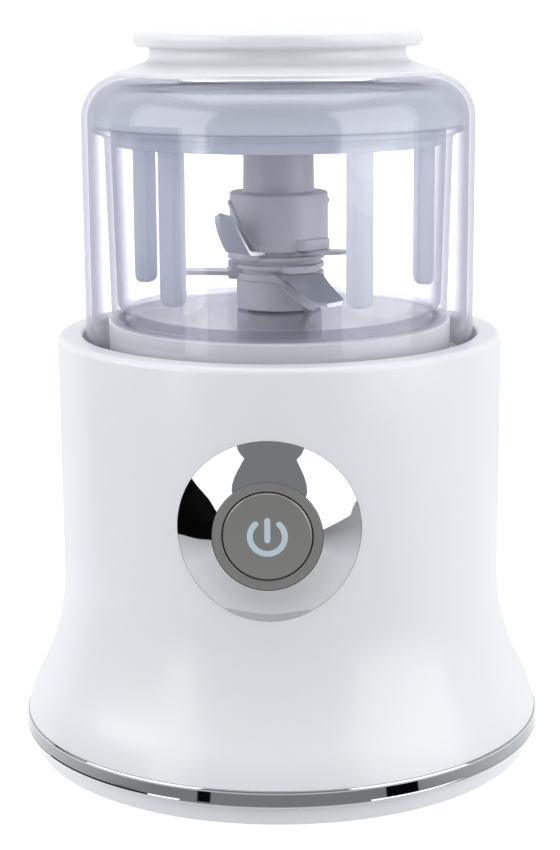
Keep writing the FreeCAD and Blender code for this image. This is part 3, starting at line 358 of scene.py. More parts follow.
# Grey acetal of the blade carrier: dense, waxy and satin.
grey_acetal = material("moulded_acetal_grey", "#c3c2c9", {"Roughness": 0.36, "IOR": 1.48},
                       grain_mm=0.6, grain=0.07, bump_um=6.0, cloudy=0.04)
# Stainless steel strip, ground along its length: fine parallel scratches.
ground_steel = material("ground_stainless_steel", "#dadbdf", {"Metallic": 1.0, "Roughness": 0.36},
                        grain_mm=0.6, grain=0.08, bump_um=2.0, stretch=(1, 9, 1))
# Glass-filled nylon of the coupling, violet grey.
coupler_nylon = material("moulded_filled_nylon_violet_grey", "#514f63", {"Roughness": 0.45},
                         grain_mm=0.4, grain=0.1, bump_um=12.0, cloudy=0.1)
# Thermoplastic rubber of the feet: pale, dull, slightly tacky.
foot_tpe = material("moulded_tpe_pale", "#d9dcde", {"Roughness": 0.6, "IOR": 1.5},
                    grain_mm=0.5, grain=0.08, bump_um=16.0)
# Plain black rubber of seals and dampers.
black_rubber = material("moulded_black_rubber", "#161617", {"Roughness": 0.62},
                        grain_mm=0.5, grain=0.1, bump_um=20.0, cloudy=0.15)
# Filled black nylon of switches, terminals and the fan.
black_nylon = material("moulded_black_nylon", "#1c1d1f", {"Roughness": 0.48},
                       grain_mm=0.6, grain=0.09, bump_um=12.0, cloudy=0.1)
# Zinc-plated steel of screws, brackets and bearings.
zinc_steel = material("zinc_plated_steel", "#b4b6b8", {"Metallic": 1.0, "Roughness": 0.3},
                      grain_mm=1.2, grain=0.1, bump_um=3.0)
# Punched electrical steel, stacked: the sheet edges show as fine layers.
lamination = material("stacked_electrical_steel", "#6b6e73", {"Metallic": 1.0, "Roughness": 0.45},
                      grain_mm=1.0, grain=0.1, bump_um=30.0, stretch=(0.05, 0.05, 1))
# Enamelled copper wire.
copper_wire = material("enamelled_copper_wire", "#b0693a", {"Metallic": 1.0, "Roughness": 0.3},
                       grain_mm=0.9, grain=0.08, bump_um=40.0, stretch=(0.1, 0.1, 1))
# Pressed carbon of the brushes.
carbon_block = material("pressed_carbon", "#242426", {"Roughness": 0.7},
                        grain_mm=0.3, grain=0.1, bump_um=15.0)
# Glass-epoxy board under green solder resist.
board_resist = material("green_solder_resist_on_epoxy", "#1c5a33", {"Roughness": 0.3},
                        grain_mm=0.8, grain=0.05, bump_um=5.0, cloudy=0.15)
# White silicone of the lid's gasket.
white_silicone = material("moulded_silicone_white", "#e6e7e8", {"Roughness": 0.5},
                          grain_mm=0.6, grain=0.08, bump_um=10.0)

FINISH = {
    "gloss_white": white_abs, "chrome": chromed_abs, "foot_rubber": foot_tpe,
    "screw_steel": zinc_steel, "grey_satin": satin_grey, "black_plastic": black_nylon,
    "lamination": lamination, "copper_wire": copper_wire, "carbon": carbon_block,
    "black_rubber": black_rubber, "board_green": board_resist, "icon_blue": icon_print,
    "coupler_grey": coupler_nylon, "clear_plastic": clear_san, "milky_plastic": milky_pp,
    "hub_grey": grey_acetal, "blade_steel": ground_steel, "silicone_white": white_silicone,
}


def finish(piece, slot):
    """Gives a piece the finish of the named slot of the record."""
    piece.data.materials.clear()
    piece.data.materials.append(FINISH[slot])
    return piece


def coat_cad_nodes():
    """Every carried-over node takes the finish that the record names for it."""
    for entry in frame["record"]["subparts"]:
        node = frame["nodes"][entry["node"]]
        finish_of = FINISH[entry["material_slot"]]
        if node.data.materials:
            for index in range(len(node.data.materials)):
                node.data.materials[index] = finish_of
        else:
            node.data.materials.append(finish_of)


coat_cad_nodes()


# Motor base ----------------------------------------------------------------------------

def make_housing():
    """The flared shell: a hollow flare under a straight wall, turned over a broad rim into the
    well that takes the dome."""
    flare_top, flare_turn, flare_arc, toe_arc, wall = 59.0, 25.0, 71.6, 35.5, 2.6
    rim_plate, well_radius, well_wall, well_low = 2.4, 59.5, 2.2, 116.1
    rim_round, well_round, straight = 2.0, 1.2, 20
    gap, spigot_wall, clear = 0.1, 2.5, 0.05
    slope = math.degrees(math.asin((flare_top - flare_turn) / flare_arc))
    flare_centre = (wall_radius + flare_arc, flare_top)
    turn_radius = flare_centre[0] - flare_arc * math.cos(math.radians(slope))
    toe_centre = (turn_radius - toe_arc * math.cos(math.radians(slope)),
                  flare_turn - toe_arc * math.sin(math.radians(slope)))
    lip = math.degrees(math.asin((trim_top + clear - toe_centre[1]) / toe_arc))
    spigot_outer = trim_radius - (trim_wall + gap)
    spigot_inner = trim_radius - (trim_wall + gap + spigot_wall)
    toe_inner = toe_arc - wall
    spigot_turn = math.degrees(math.acos((spigot_inner - toe_centre[0]) / toe_inner))
    outside = arc(toe_centre, toe_arc, lip, slope, 10)
    outside += arc(flare_centre, flare_arc, 180 + slope, 180, 20)[1:]
    inside = arc(flare_centre, flare_arc + wall, 180, 180 + slope, 12)
    inside += arc(toe_centre, toe_inner, slope, spigot_turn, 6)[1:]
    top = softened([
        (wall_radius, shell_top - straight), (wall_radius, shell_top, rim_round),
        (well_radius, shell_top, well_round), (well_radius, well_low),
        (well_radius + well_wall, well_low), (well_radius + well_wall, shell_top - rim_plate),
        (wall_radius - wall, shell_top - rim_plate)], closed=False, arc_steps=10)
    foot = [(spigot_inner, shell_low), (spigot_outer, shell_low),
            (spigot_outer, trim_top + clear)]
    bm = bmesh.new()
    lathe(bm, foot + outside + top + inside, AROUND_LARGE)
    shell = keep("housing_shell", bm, "base")
    # holes for the chrome cone and, low at the back, for the cord's grommet
    bezel_reach, bezel_depth, grommet_depth = 4, 26, 30
    across = Matrix.Rotation(math.radians(90), 4, "X")
    front = Matrix.Translation((0, -(wall_radius + bezel_reach) * MM, button_height * MM))
    carved(shell, loose_cylinder(bezel_radius + gap, bezel_depth, front @ across))
    low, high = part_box("cord_grommet")
    back = Matrix.Translation((0, high[1], (low[2] + high[2]) / 2))
    carved(shell, loose_cylinder(half_width("cord_grommet") + gap, grommet_depth, back @ across))
    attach(shell, "base")
    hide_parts("base_housing")
    return finish(shell, "gloss_white")


make_housing()

trim_inner = trim_radius - trim_wall
finish(turned("trim_ring", [
    (trim_inner, trim_low), (trim_radius - 0.3, trim_low, 0.3), (trim_radius, trim_low + 0.5, 0.3),
    (trim_radius - 0.12, trim_low + 1.0, 0.2), (trim_radius - 0.45, trim_top - 0.9, 0.2),
    (trim_radius - 0.32, trim_top - 0.45, 0.15), (trim_radius - 0.6, trim_top, 0.2),
    (trim_inner, trim_top)], "base", ["chrome_trim_ring"], around=AROUND_LARGE), "chrome")


def make_tray():
    """Bottom tray: the CAD tray with its doubled points merged and its flat faces joined."""
    bm = bmesh.new()
    bm.from_mesh(frame["nodes"]["base_plate"].data)
    bmesh.ops.remove_doubles(bm, verts=bm.verts, dist=1e-6)
    bmesh.ops.scale(bm, vec=(1 / MM, 1 / MM, 1 / MM), verts=bm.verts)
    bmesh.ops.dissolve_limit(bm, angle_limit=math.radians(0.5), verts=bm.verts, edges=bm.edges)
    bmesh.ops.triangulate(bm, faces=bm.faces)
    tray = finish(keep("bottom_tray", bm, "base", ["base_plate"]), "gloss_white")
    tray.data.materials[0] = tray_abs


make_tray()

sole_recess, peg_radius, peg_chamfer = 0.35, 2.9, 0.5
for side in ("front_left", "front_right", "rear_left", "rear_right"):
    low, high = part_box(f"foot_{side}")
    middle = Matrix.Translation(((low[0] + high[0]) / 2 / MM, (low[1] + high[1]) / 2 / MM, 0))
    foot_radius = half_width(f"foot_{side}")
    top = high[2] / MM
    finish(turned(f"foot_pad_{side}", [
        (0, sole_recess), (foot_radius - 2.6, sole_recess, 0.2), (foot_radius - 2.3, 0, 0.2),
        (foot_radius - 0.5, 0, 0.35), (foot_radius, 0.6, 0.3), (foot_radius, plate_low),
        (peg_radius, plate_low), (peg_radius, top - peg_chamfer, 0.3),
        (peg_radius - peg_chamfer, top), (0, top)],
        "base", [f"foot_{side}"], around=64, place=middle), "foot_rubber")


# Push button, chrome cone and symbol ---------------------------------------------------

def make_bezel():
    """The chrome cone: its outer edge follows the round wall and its face swells a little
    between that edge and the flat ring round the button."""
    face_out, back = faces("button_bezel")
    bore, bore_draft, across, swell = 15.4, 0.25, 18, 0.55

    def ring_of(bm, radius, depth_at):
        points = []
        for turn in range(AROUND_LARGE):
            angle = 2 * math.pi * turn / AROUND_LARGE
            points.append(bm.verts.new((radius * math.cos(angle), -depth_at(angle),
                                        button_height + radius * math.sin(angle))))
        return points

    bm = bmesh.new()
    rings = []
    for step in range(across + 1):
        share = step / across

        def cone(angle):
            edge_x = bezel_radius * math.cos(angle)
            edge_y = math.sqrt(wall_radius ** 2 - edge_x ** 2)
            depth = edge_y + (face_out - edge_y) * share + swell * math.sin(math.pi * share)
            return min(depth, face_out)

        rings.append(ring_of(bm, bezel_radius + (bore - bezel_radius) * share, cone))
    for radius in (bore - bore_draft, bezel_radius):
        rings.append(ring_of(bm, radius, lambda angle: back))
    bridge(bm, rings + rings[:1])
    bmesh.ops.recalc_face_normals(bm, faces=bm.faces)
    return finish(keep("bezel_cone", bm, "base", ["button_bezel"]), "chrome")


make_bezel()

guide_radius = half_width("button_ring")
guide_face, guide_back = faces("button_ring")
guide_bore, guide_edge = button_radius + 0.3, 0.25
finish(turned("guide_ring", [
    (guide_bore, guide_back), (guide_radius, guide_back),
    (guide_radius, guide_face - guide_edge), (guide_radius - 0.3, guide_face, guide_edge),
    (button_radius + 0.5, guide_face, 0.2), (guide_bore, guide_face - guide_edge)],
    "base", ["button_ring"], place=FRONT), "grey_satin")


def make_symbol(thickness, front):
    """The power symbol as a thin raised print: an open ring and a bar, both with round ends."""
    arc_radius, half, gap = 4.8, 0.825, 43      # half is half the stroke, gap in degrees
    bar_bottom, bar_top = -1.8, 5.3
    first, last = 90 + gap, 450 - gap
    outline = arc((0, 0), arc_radius + half, first, last, 60)
    for middle, start in ((last, last), (first, first + 180)):
        centre = arc((0, 0), arc_radius, middle, middle, 1)[0]
        outline += arc(centre, half, start, start + 180, 10)[1:-1]
        if middle == last:
            outline += arc((0, 0), arc_radius - half, last, first, 60)
    bar_low, bar_high = bar_bottom + half, bar_top - half
    bar = arc((0, bar_high), half, 0, 180, 12) + arc((0, bar_low), half, 180, 360, 12)
    bm = bmesh.new()
    for points in (outline, bar):
        face = bm.faces.new([bm.verts.new((x, y, front)) for x, y in points])
        made = bmesh.ops.extrude_face_region(bm, geom=[face])
        moved = [item for item in made["geom"] if isinstance(item, bmesh.types.BMVert)]
        bmesh.ops.translate(bm, vec=(0, 0, -thickness), verts=moved)
    bmesh.ops.triangulate(bm, faces=bm.faces)
    bmesh.ops.transform(bm, matrix=FRONT, verts=bm.verts)
    bmesh.ops.recalc_face_normals(bm, faces=bm.faces)
    return bm


def make_button():
    """The cap with its bright broken edge, its skirt and the stem that reaches the switch."""
    stem, spring_seat, shoulder, under_cap, skirt_end = 2.6, 5.3, 62.5, 68.4, 60.5
    skirt_wall, edge = 1.6, 0.42
    symbol_depth, symbol_proud = 0.28, 0.03
    button = turned("button_cap", [
        (0, stem_end), (stem, stem_end, 0.4), (stem, shoulder), (spring_seat, shoulder),
        (spring_seat, under_cap), (button_radius - skirt_wall, under_cap),
        (button_radius - skirt_wall, skirt_end), (button_radius, skirt_end),
        (button_radius, button_face - edge, 0.12), (button_radius - edge, button_face, 0.15),
        (0, button_face)], "button", place=FRONT)
    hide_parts("push_button")
    finish(button, "grey_satin")
    printed = make_symbol(symbol_depth, button_face + symbol_proud)
    finish(keep("button_symbol", printed, "button", ["button_icon"]), "icon_blue")


make_button()


# Bowl ----------------------------------------------------------------------------------

def taper(height):
    """Outer radius of the bowl's wall at a height."""
    low_radius, high_radius = 50.7, 51.9
    low_height, high_height = bowl_floor, bowl_rim - rim_flange
    rise = high_height - low_height
    return low_radius + (high_radius - low_radius) * (height - low_height) / rise


def make_bowl():
    """Clear bowl: drafted wall, rounded floor, a rolled rim flange and a foot ring."""
    floor_top, bush = 138.4, 9.3
    ring_inner, ring_outer, ring_low = 46.4, 48.6, bowl_low + 0.1
    rim_under, flare = bowl_rim - rim_flange, 1.6
    bowl = turned("clear_bowl", [
        (bush, bowl_floor), (ring_inner, bowl_floor), (ring_inner, ring_low, 0.3),
        (ring_outer, ring_low, 0.3), (ring_outer, bowl_floor),
        (taper(bowl_floor), bowl_floor, 1.0),
        (taper(rim_under - flare), rim_under - flare, 1.2), (rim_radius - flare, rim_under, 0.4),
        (rim_radius, rim_under + 0.1, 0.5), (rim_radius, bowl_rim, 0.7),
        (taper(bowl_rim) - bowl_wall, bowl_rim, 0.5),
        (taper(floor_top) - bowl_wall, floor_top, 3.0), (bush, floor_top)],
        "bowl", ["bowl"], around=AROUND_LARGE, steps=8)
    return finish(bowl, "clear_plastic")


make_bowl()


# Blade unit ----------------------------------------------------------------------------

def ramp(bm, radius, thick, start, end, low, high, width):
    """A moulded ramp that climbs round the hub from one angle to another."""
    steps, sunk, taper_to, edge = 18, -0.6, 0.75, 0.4
    profile = []
    for step in range(steps + 1):
        share = step / steps
        angle = math.radians(start + (end - start) * share)
        ease = share * share * (3 - 2 * share)
        height = low + (high - low) * ease
        ring = []
        for offset, level in ((sunk, height - width), (thick, height - width * taper_to),
                              (thick, height - edge), (sunk, height)):
            ring.append(bm.verts.new(((radius + offset) * math.cos(angle),
                                      (radius + offset) * math.sin(angle), level)))
        profile.append(ring)
    bridge(bm, profile)
    bm.faces.new(profile[0])
    bm.faces.new(profile[-1][::-1])


def pad(bm, angle, inner, outer, half, low, high):
    """A rounded moulded pad that carries a wing's root."""
    corner, edge, narrowed = 1.6, 0.3, 0.94
    turn = Matrix.Rotation(math.radians(angle), 4, "Z")
    outline = softened([(inner, -half), (outer, -half, corner), (outer, half, corner),
                        (inner, half)])
    middle = (inner + outer) / 2
    rings = []
    for level, share in ((low, narrowed), (low + edge, 1.0), (high - edge, 1.0),
                         (high, narrowed)):
        rings.append([bm.verts.new(turn @ Vector((middle + (x - middle) * share, y * share,
                                                  level))) for x, y in outline])
    bridge(bm, rings)
    bm.faces.new(rings[0][::-1])
    bm.faces.new(rings[-1])


def make_hub():
    """Grey carrier: lower barrel, wider upper barrel and stem, with moulded ramps that hold
    the blades' roots and a slot under each blade."""
    lower, upper, stem, barrel_top = 12.85, 15.1, 10.6, 173.6
    bore, bore_top, mouth = 5.6, 167, 10.0
    collar, wide_collar, groove = lower + 0.7, lower + 0.9, lower - 0.6
    bm = bmesh.new()
    section = softened([
        (0, bore_top), (bore, bore_top), (bore, hub_low + 3), (mouth, hub_low + 2.4),
        (mouth, hub_low, 0.3), (lower, hub_low, 0.5), (lower, 147.6),
        (collar, 147.9, 0.2), (collar, 149.8, 0.2), (groove, 149.9), (groove, 151.0),
        (collar, 151.1, 0.2), (collar, 152.4, 0.2), (groove, 152.5), (groove, 153.6),
        (wide_collar, 153.7, 0.2), (wide_collar, 155.0, 0.2), (groove, 155.1), (groove, 156.6),
        (upper, 156.8, 0.3), (upper, 158.4, 0.4), (upper - 0.25, 158.9),
        (upper - 0.3, barrel_top, 0.8), (stem + 0.1, barrel_top, 0.5),
        (stem - 0.3, hub_top, 0.6), (0, hub_top)], arc_steps=5)
    lathe(bm, section, 160)
    # two ramps on each barrel, half a turn apart: start and end in degrees, low and high in mm
    for start, end in ((262, 318), (82, 138)):
        ramp(bm, lower, 2.2, start, end, 150.6, 141.4, 3.4)
    for start, end in ((196, 252), (16, 72)):
        ramp(bm, upper - 0.2, 0.8, start, end, 171.5, 159.0, 2.2)
    # a pad under or over each wing: angle, reach, half width, low and high
    for angle, outer, half, low, high in ((184, 15.4, 5.2, 147.8, 152.6),
                                          (315, 17.2, 5.6, 157.2, 160.4),
                                          (222, 16.0, 5.6, 154.2, 156.0),
                                          (300, 15.6, 5.4, 150.4, 152.6)):
        pad(bm, angle, lower - 2, outer, half, low, high)
    bmesh.ops.recalc_face_normals(bm, faces=bm.faces)
    return finish(keep("blade_carrier", bm, "blades", ["blade_hub"], sharp=38), "hub_grey")


make_hub()


def make_blade(name, node, height, wings):
    """A stamped steel blade: each wing is a curved strip that bends up or down outside the hub
    and is ground to an edge on its leading side."""
    root, tip, bend, half, steel = 7.0, 30.0, 15.0, 6.3, 1.2
    along, across = 30, 8
    turn_over = 1.6                         # the sheet bends over this length
    swept, narrowing, thinnest = 3.4, 0.3, 0.08
    rounded_from, rounded_over, bluntest, tip_lean = 0.93, 0.072, 0.03, 1.6
    # the leading edge is ground: in shares of the half width, with the middle of the strip at 0
    ground_from, ground_to, ground_over = -0.55, 1.02, 0.47
    bm = bmesh.new()
    for angle, lift in wings:
        turn = Matrix.Rotation(math.radians(angle), 4, "Z")
        rows = []
        for step in range(along + 1):
            share = step / along
            distance = root + (tip - root) * share
            past = max(distance - bend, 0.0)
            # half of the length that the sheet bends over still runs flat
            eased = past - turn_over / 2 if past > turn_over else past ** 2 / (2 * turn_over)
            out = distance - eased + eased * math.cos(math.radians(lift))
            rise = eased * math.sin(math.radians(lift))
            sweep = swept * (past / (tip - bend)) ** 2
            narrow = 1 - narrowing * (past / (tip - bend)) ** 1.6
            tail = 1.0
            if share >= rounded_from:
                tail = math.sqrt(max(1 - ((share - rounded_from) / rounded_over) ** 2, bluntest))
            row = []
            for line in range(across + 1):
                side = -1 + 2 * line / across
                width = half * narrow * tail
                y = side * width + sweep - (1 - tail) * tip_lean
                edge = 1.0
                if side <= ground_from and distance >= bend + 1:
                    edge = (side + ground_to) / ground_over
                thin = steel / 2 * min(max(edge, thinnest), 1.0)
                row.append((Vector((out, y, rise)), thin))
            rows.append(row)
        top, bottom = [], []
        for row in rows:
            top.append([bm.verts.new(turn @ (p + Vector((0, 0, height + t)))) for p, t in row])
            bottom.append([bm.verts.new(turn @ (p + Vector((0, 0, height - t)))) for p, t in row])
        for grid, flip in ((top, False), (bottom, True)):
            for first, second in zip(grid, grid[1:]):
                for line in range(across):
                    quad = [first[line], second[line], second[line + 1], first[line + 1]]
                    bm.faces.new(quad[::-1] if flip else quad)
        for line in (0, across):
            for step in range(along):
                quad = [top[step][line], top[step + 1][line], bottom[step + 1][line],
                        bottom[step][line]]
                bm.faces.new(quad)
        for step in (0, along):
            for line in range(across):
                bm.faces.new([top[step][line], top[step][line + 1], bottom[step][line + 1],
                              bottom[step][line]])
    bmesh.ops.recalc_face_normals(bm, faces=bm.faces)
    return finish(keep(name, bm, "blades", [node], sharp=28), "blade_steel")


make_blade("steel_blade_upper", "upper_blade", 156.4, ((222, 56), (315, 5)))
make_blade("steel_blade_lower", "lower_blade", 149.6, ((184, 2), (300, -30)))


def ring_tree():
    """Geometry Nodes that repeat a mesh round the Z axis: inputs for how many, the first angle
    and the step between them."""
    tree = bpy.data.node_groups.new("round_the_axis", "GeometryNodeTree")
    face = tree.interface
    face.new_socket("Geometry", in_out="INPUT", socket_type="NodeSocketGeometry")
    face.new_socket("Count", in_out="INPUT", socket_type="NodeSocketInt")
    face.new_socket("First", in_out="INPUT", socket_type="NodeSocketFloat")
    face.new_socket("Step", in_out="INPUT", socket_type="NodeSocketFloat")
    face.new_socket("Material", in_out="INPUT", socket_type="NodeSocketMaterial")
    face.new_socket("Geometry", in_out="OUTPUT", socket_type="NodeSocketGeometry")
    given = add(tree, "NodeGroupInput")
    places = add(tree, "GeometryNodePoints", None, {"Count": given.outputs["Count"]})
    number = add(tree, "GeometryNodeInputIndex")
    turned_by = add(tree, "ShaderNodeMath", {"operation": "MULTIPLY_ADD"},
                    {0: number.outputs["Index"], 1: given.outputs["Step"],
                     2: given.outputs["First"]})
    euler = add(tree, "ShaderNodeCombineXYZ", None, {"Z": turned_by.outputs["Value"]})
    turn = add(tree, "FunctionNodeEulerToRotation", None, {"Euler": euler.outputs["Vector"]})
    copies = add(tree, "GeometryNodeInstanceOnPoints", None,
                 {"Points": places.outputs["Points"], "Instance": given.outputs["Geometry"],
                  "Rotation": turn.outputs["Rotation"]})
    real = add(tree, "GeometryNodeRealizeInstances", None,
               {"Geometry": copies.outputs["Instances"]})
    coated = add(tree, "GeometryNodeSetMaterial", None,
                 {"Geometry": real.outputs["Geometry"], "Material": given.outputs["Material"]})
    add(tree, "NodeGroupOutput", None, {"Geometry": coated.outputs["Geometry"]})
    return tree


def repeated(bm, count, first, step, slot):
    """The mesh of a bmesh repeated round the axis, angles in degrees."""
    mesh = bpy.data.meshes.new("repeat_source")
    bm.to_mesh(mesh)
    bm.free()
    source = bpy.data.objects.new("repeat_source", mesh)
    scene.collection.objects.link(source)
    repeat = source.modifiers.new("round_the_axis", "NODES")
    repeat.node_group = ring_tree()
    wanted = {"Count": count, "First": math.radians(first), "Step": math.radians(step),
              "Material": FINISH[slot]}
    for socket in repeat.node_group.interface.items_tree:
        if socket.item_type == "SOCKET" and socket.in_out == "INPUT" and socket.name in wanted:
            repeat[socket.identifier] = wanted[socket.name]
    shown = source.evaluated_get(bpy.context.evaluated_depsgraph_get())
    result = bpy.data.meshes.new_from_object(shown)
    bpy.data.objects.remove(source)
    return result


# Inner lid and its hanging ribs --------------------------------------------------------

def make_lid():
    """Milky lid: a rounded band over the bowl's rim, a skirt inside the bowl, a socket for the
    carrier's stem and five ribs that hang down the bowl's wall."""
    low_edge, skirt_low, plate_under = bowl_rim + 0.3, 187.9, 201.9
    socket_inner, socket_outer, skirt_inner, skirt_outer = 11.1, 12.9, 47.4, 49.4
    band_inner, band_under = 53.15, low_edge + 3.0
    band = turned("milky_lid", [
        (socket_inner, skirt_low), (socket_outer, skirt_low), (socket_outer, plate_under),
        (skirt_inner, plate_under), (skirt_inner, skirt_low, 0.3), (skirt_outer, skirt_low, 0.5),
        (skirt_outer, band_under), (band_inner, band_under), (band_inner, low_edge, 0.3),
        (lid_radius, low_edge, 0.9), (lid_radius, lid_top, 8.0), (socket_inner, lid_top, 0.4)],
        "lid", around=AROUND_LARGE, steps=10)
    rib_inner, rib_outer, width, soft, crown = 42.6, 48.4, 6.7, 1.1, 0.6
    rib_count, first_angle, rib_step, rib_root = 5, 303, -72, 202.0
    half = width / 2
    outline = softened([(rib_inner, -half, soft), (rib_outer - crown, -half, soft),
                        (rib_outer, 0, 3.0), (rib_outer - crown, half, soft),
                        (rib_inner, half, soft)], arc_steps=5)
    middle = (rib_inner + rib_outer) / 2
    rib = bmesh.new()
    rings = []
    # the end is rounded: height, and the share of the full section that it has there
    for level, share in ((rib_low, 0.62), (rib_low + 0.5, 0.82), (rib_low + 1.4, 0.95),
                         (rib_low + 3, 1.0), (rib_root, 1.0)):
        rings.append([rib.verts.new((middle + (x - middle) * share, y * share, level))
                      for x, y in outline])
    bridge(rib, rings)
    rib.faces.new(rings[0][::-1])
    rib.faces.new(rings[-1])
    bmesh.ops.recalc_face_normals(rib, faces=rib.faces)
    bm = bmesh.new()
    bm.from_mesh(band.data)
    bmesh.ops.scale(bm, vec=(1 / MM, 1 / MM, 1 / MM), verts=bm.verts)
    bm.from_mesh(repeated(rib, rib_count, first_angle, rib_step, "milky_plastic"))
    bpy.data.objects.remove(band)
    return finish(keep("milky_lid", bm, "lid", ["baffle_lid"]), "milky_plastic")


make_lid()


# Cover dome and grip cap ---------------------------------------------------------------

def make_dome():
    """Clear cover: a straight wall, a rounded shoulder and the flat that takes the cap, with
    three lugs on its lower edge that pass the drum's hooks."""
    inner_wall, opening, under_top = dome_radius - dome_wall, 30.0, dome_top - dome_wall
    bm = bmesh.new()
    section = softened([
        (inner_wall, dome_low, 0.5), (dome_radius, dome_low, 0.6),
        (dome_radius, dome_top, dome_round), (opening, dome_top, 0.3), (opening, under_top, 0.3),
        (inner_wall, under_top, dome_round - dome_wall)], arc_steps=14)
    lathe(bm, section, 288)
    lug_radius, lug_angle, steps, end_share = 55.5, 16, 12, 0.55
    root, lug_low = inner_wall + 0.2, dome_low + 0.1
    for middle in (30, 150, 270):
        rows = []
        for step in range(steps + 1):
            angle = math.radians(middle - lug_angle / 2 + lug_angle * step / steps)
            edge = 1.0 if 0 < step < steps else end_share
            inner = root - (root - lug_radius) * edge
            rows.append([bm.verts.new((r * math.cos(angle), r * math.sin(angle), z))
                         for r, z in ((root, lug_low), (inner, lug_low),
                                      (inner, dome_low + 2.2), (root, dome_low + 2.6))])
        bridge(bm, rows)
        bm.faces.new(rows[0])
        bm.faces.new(rows[-1][::-1])
    bmesh.ops.recalc_face_normals(bm, faces=bm.faces)
    return finish(keep("clear_dome", bm, "cover", ["cover_dome"]), "clear_plastic")


make_dome()


def make_grip():
    """White cap on the dome: a flared skirt, a narrow neck and a broad disc to hold it by, with
    a low boss in the middle."""
    shoulder = (dome_radius - dome_round, dome_top - dome_round)
    skirt_ends, skin, flange_edge = 77, 0.03, 4.8      # skirt_ends in degrees on the shoulder
    neck, flange, disc, boss, wall, hollow = 37.2, 42.9, grip_top - 1.0, 8.6, 2.6, 34.6
    under = arc(shoulder, dome_round + skin, 90, skirt_ends, 10)
    start_r, start_z = under[-1]
    flare = softened([
        (start_r, start_z), (start_r - 0.15, start_z + 1.3, 0.5), (neck + 9, dome_top + 1.0, 6.0),
        (neck + 1.0, dome_top + 4.0, 4.5), (neck + 0.6, disc - flange_edge, 1.2),
        (flange, disc - flange_edge, 2.2), (flange, disc, 2.35), (boss + 4, disc, 9.0),
        (boss - 4, grip_top, 9.0), (0, grip_top)], closed=False, arc_steps=10)
    inside = [(0, disc - wall), (hollow, disc - wall), (hollow, dome_top + 0.02)]
    bm = bmesh.new()
    lathe(bm, under + flare[1:] + inside, AROUND_LARGE)
    return finish(keep("grip_cap", bm, "cover", ["cover_grip"]), "gloss_white")


make_grip()


# Stage, camera and light ---------------------------------------------------------------

# Opal acrylic table, lit a little from below, so that it stays white and even.
floor_paint = material("opal_acrylic_table", "#f4f4f4",
                       {"Roughness": 0.85, "Specular IOR Level": 0.1,
                        "Emission Color": (1, 1, 1, 1), "Emission Strength": 0.6},
                       grain_mm=8.0, grain=0.02)


def stage_sheet(name, section, half_width):
    """A smooth sheet of the table's material, drawn along a section in Y and Z."""
    bm = bmesh.new()
    rows = [[bm.verts.new((x, y, z)) for x in (-half_width, half_width)] for y, z in section]
    for first, second in zip(rows, rows[1:]):
        bm.faces.new((first[0], first[1], second[1], second[0]))
    mesh = bpy.data.meshes.new(name)
    bm.to_mesh(mesh)
    bm.free()
    mesh.shade_smooth()
    mesh.materials.append(floor_paint)
    sheet = bpy.data.objects.new(name, mesh)
    scene.collection.objects.link(sheet)
    return sheet


OBJECT_MIDDLE = (0, 0, 0.12)


def face_towards(made, place, target):
    """Puts a stage object in its place, with its front turned to a point."""
    made.location = place
    aim = Vector(target) - Vector(place)
    made.rotation_euler = aim.to_track_quat("-Z", "Y").to_euler()
    scene.collection.objects.link(made)
    return made


def softbox(name, place, size, power, target=OBJECT_MIDDLE):
    """A rectangular area light turned towards the object."""
    lamp = bpy.data.lights.new(name, "AREA")
    lamp.shape = "RECTANGLE"
    lamp.size, lamp.size_y = size
    lamp.energy = power
    return face_towards(bpy.data.objects.new(name, lamp), place, target)


def card(name, place, size, colour):
    """A flat studio card that shows only as a reflection."""
    half_x, half_y = size[0] / 2, size[1] / 2
    bm = bmesh.new()
    bm.faces.new([bm.verts.new((x, y, 0)) for x, y in
                  ((-half_x, -half_y), (half_x, -half_y), (half_x, half_y), (-half_x, half_y))])
    mesh = bpy.data.meshes.new(name)
    bm.to_mesh(mesh)
    bm.free()
    paper = material(name + "_paper", colour, {"Roughness": 0.9, "Specular IOR Level": 0.05})
    mesh.materials.append(paper)
    made = bpy.data.objects.new(name, mesh)
    made.visible_camera = False
    made.visible_diffuse = False
    made.visible_shadow = False
    return face_towards(made, place, OBJECT_MIDDLE)


# Metres: the table runs back to table_back, where the sweep goes on and then curves up.
half_stage, table_front, table_back, curve_start, curve, sweep_top = 2.6, -1.6, 0.2, 1.2, 0.6, 2.6
floor = stage_sheet("studio_table", [(table_front, 0.0), (table_back, 0.0)], half_stage)
sweep = stage_sheet("studio_sweep", [(table_back, 0.0), (curve_start, 0.0)] + [
    (curve_start + y, curve + z) for y, z in arc((0, 0), curve, -84, 0, 14)] + [
    (curve_start + curve, sweep_top)], half_stage)
# The table is left out of the object's reflections and bounced light, which it would wash out.
for sheet in (floor, sweep):
    sheet.visible_glossy = False
    sheet.visible_diffuse = False
lights = [
    softbox("softbox_left", (-0.95, -0.48, 0.42), (1.05, 1.0), 7.6),
    softbox("softbox_right", (0.95, -0.48, 0.42), (1.05, 1.0), 7.6),
    softbox("overhead", (0.0, 0.1, 1.3), (1.4, 1.2), 9.5),
    softbox("backdrop_wash", (0.0, 0.9, 1.0), (2.4, 0.8), 14.0, target=(0.0, 2.2, 0.3)),
]
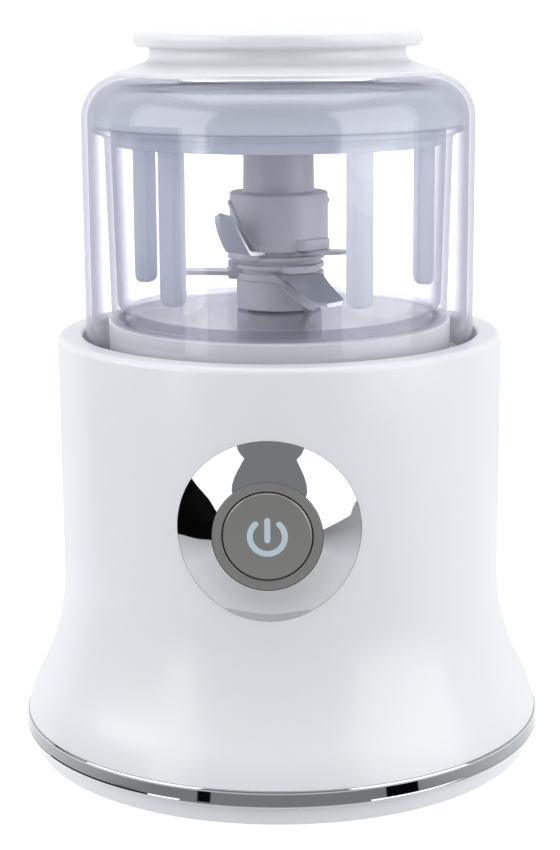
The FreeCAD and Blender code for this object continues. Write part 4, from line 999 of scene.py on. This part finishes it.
# Dark cards for the chrome to reflect; the low ones hang under the table's level.
cards = [card("black_flag_left", (-0.6, -0.1, 0.04), (0.66, 0.3), "#050505"),
         card("low_flag_left", (-0.48, -0.87, -0.22), (0.1, 0.3), "#080808"),
         card("low_flag_right", (0.8, -0.6, -0.22), (0.26, 0.3), "#080808")]

# The air is brighter behind the object than in front, and also lights it a little from below.
world = scene.world or bpy.data.worlds.new("studio_air")
scene.world = world
world.use_nodes = True
air = world.node_tree
front_air, back_air, low_air = 0.36, 0.95, 0.55
way = add(air, "ShaderNodeTexCoord")
parts = add(air, "ShaderNodeSeparateXYZ", None, {0: way.outputs["Generated"]})
behind = add(air, "ShaderNodeMapRange",
             {"From Min": -0.6, "From Max": 0.8, "To Min": front_air, "To Max": back_air},
             {"Value": parts.outputs["Y"]})
below = add(air, "ShaderNodeMapRange",
            {"From Min": -0.22, "From Max": -0.5, "To Min": 0.0, "To Max": low_air},
            {"Value": parts.outputs["Z"]})
total = add(air, "ShaderNodeMath", {"operation": "ADD"},
            {0: behind.outputs["Result"], 1: below.outputs["Result"]})
air.nodes["Background"].inputs["Color"].default_value = (0.96, 0.98, 1.0, 1)
air.links.new(total.outputs["Value"], air.nodes["Background"].inputs["Strength"])

view = bpy.data.cameras.new("camera")
view.sensor_fit = "VERTICAL"
view.sensor_height = 36.0
view.lens = 82.6
camera = bpy.data.objects.new("camera", view)
camera_place = (0.0297, -0.5854, 0.2278)
heading, looking_down, roll = 2.905, 12.13, -0.335      # degrees
camera.matrix_world = (Matrix.Translation(camera_place)
                       @ Matrix.Rotation(math.radians(heading), 4, "Z")
                       @ Matrix.Rotation(math.radians(90 - looking_down), 4, "X")
                       @ Matrix.Rotation(math.radians(roll), 4, "Z"))
scene.collection.objects.link(camera)
scene.camera = camera
scene.view_settings.view_transform = "Standard"
# Four clear walls stand in line, the dome and the bowl front and back, each with two faces.
scene.cycles.max_bounces = scene.cycles.transmission_bounces = 16
scene.cycles.transparent_max_bounces = 16
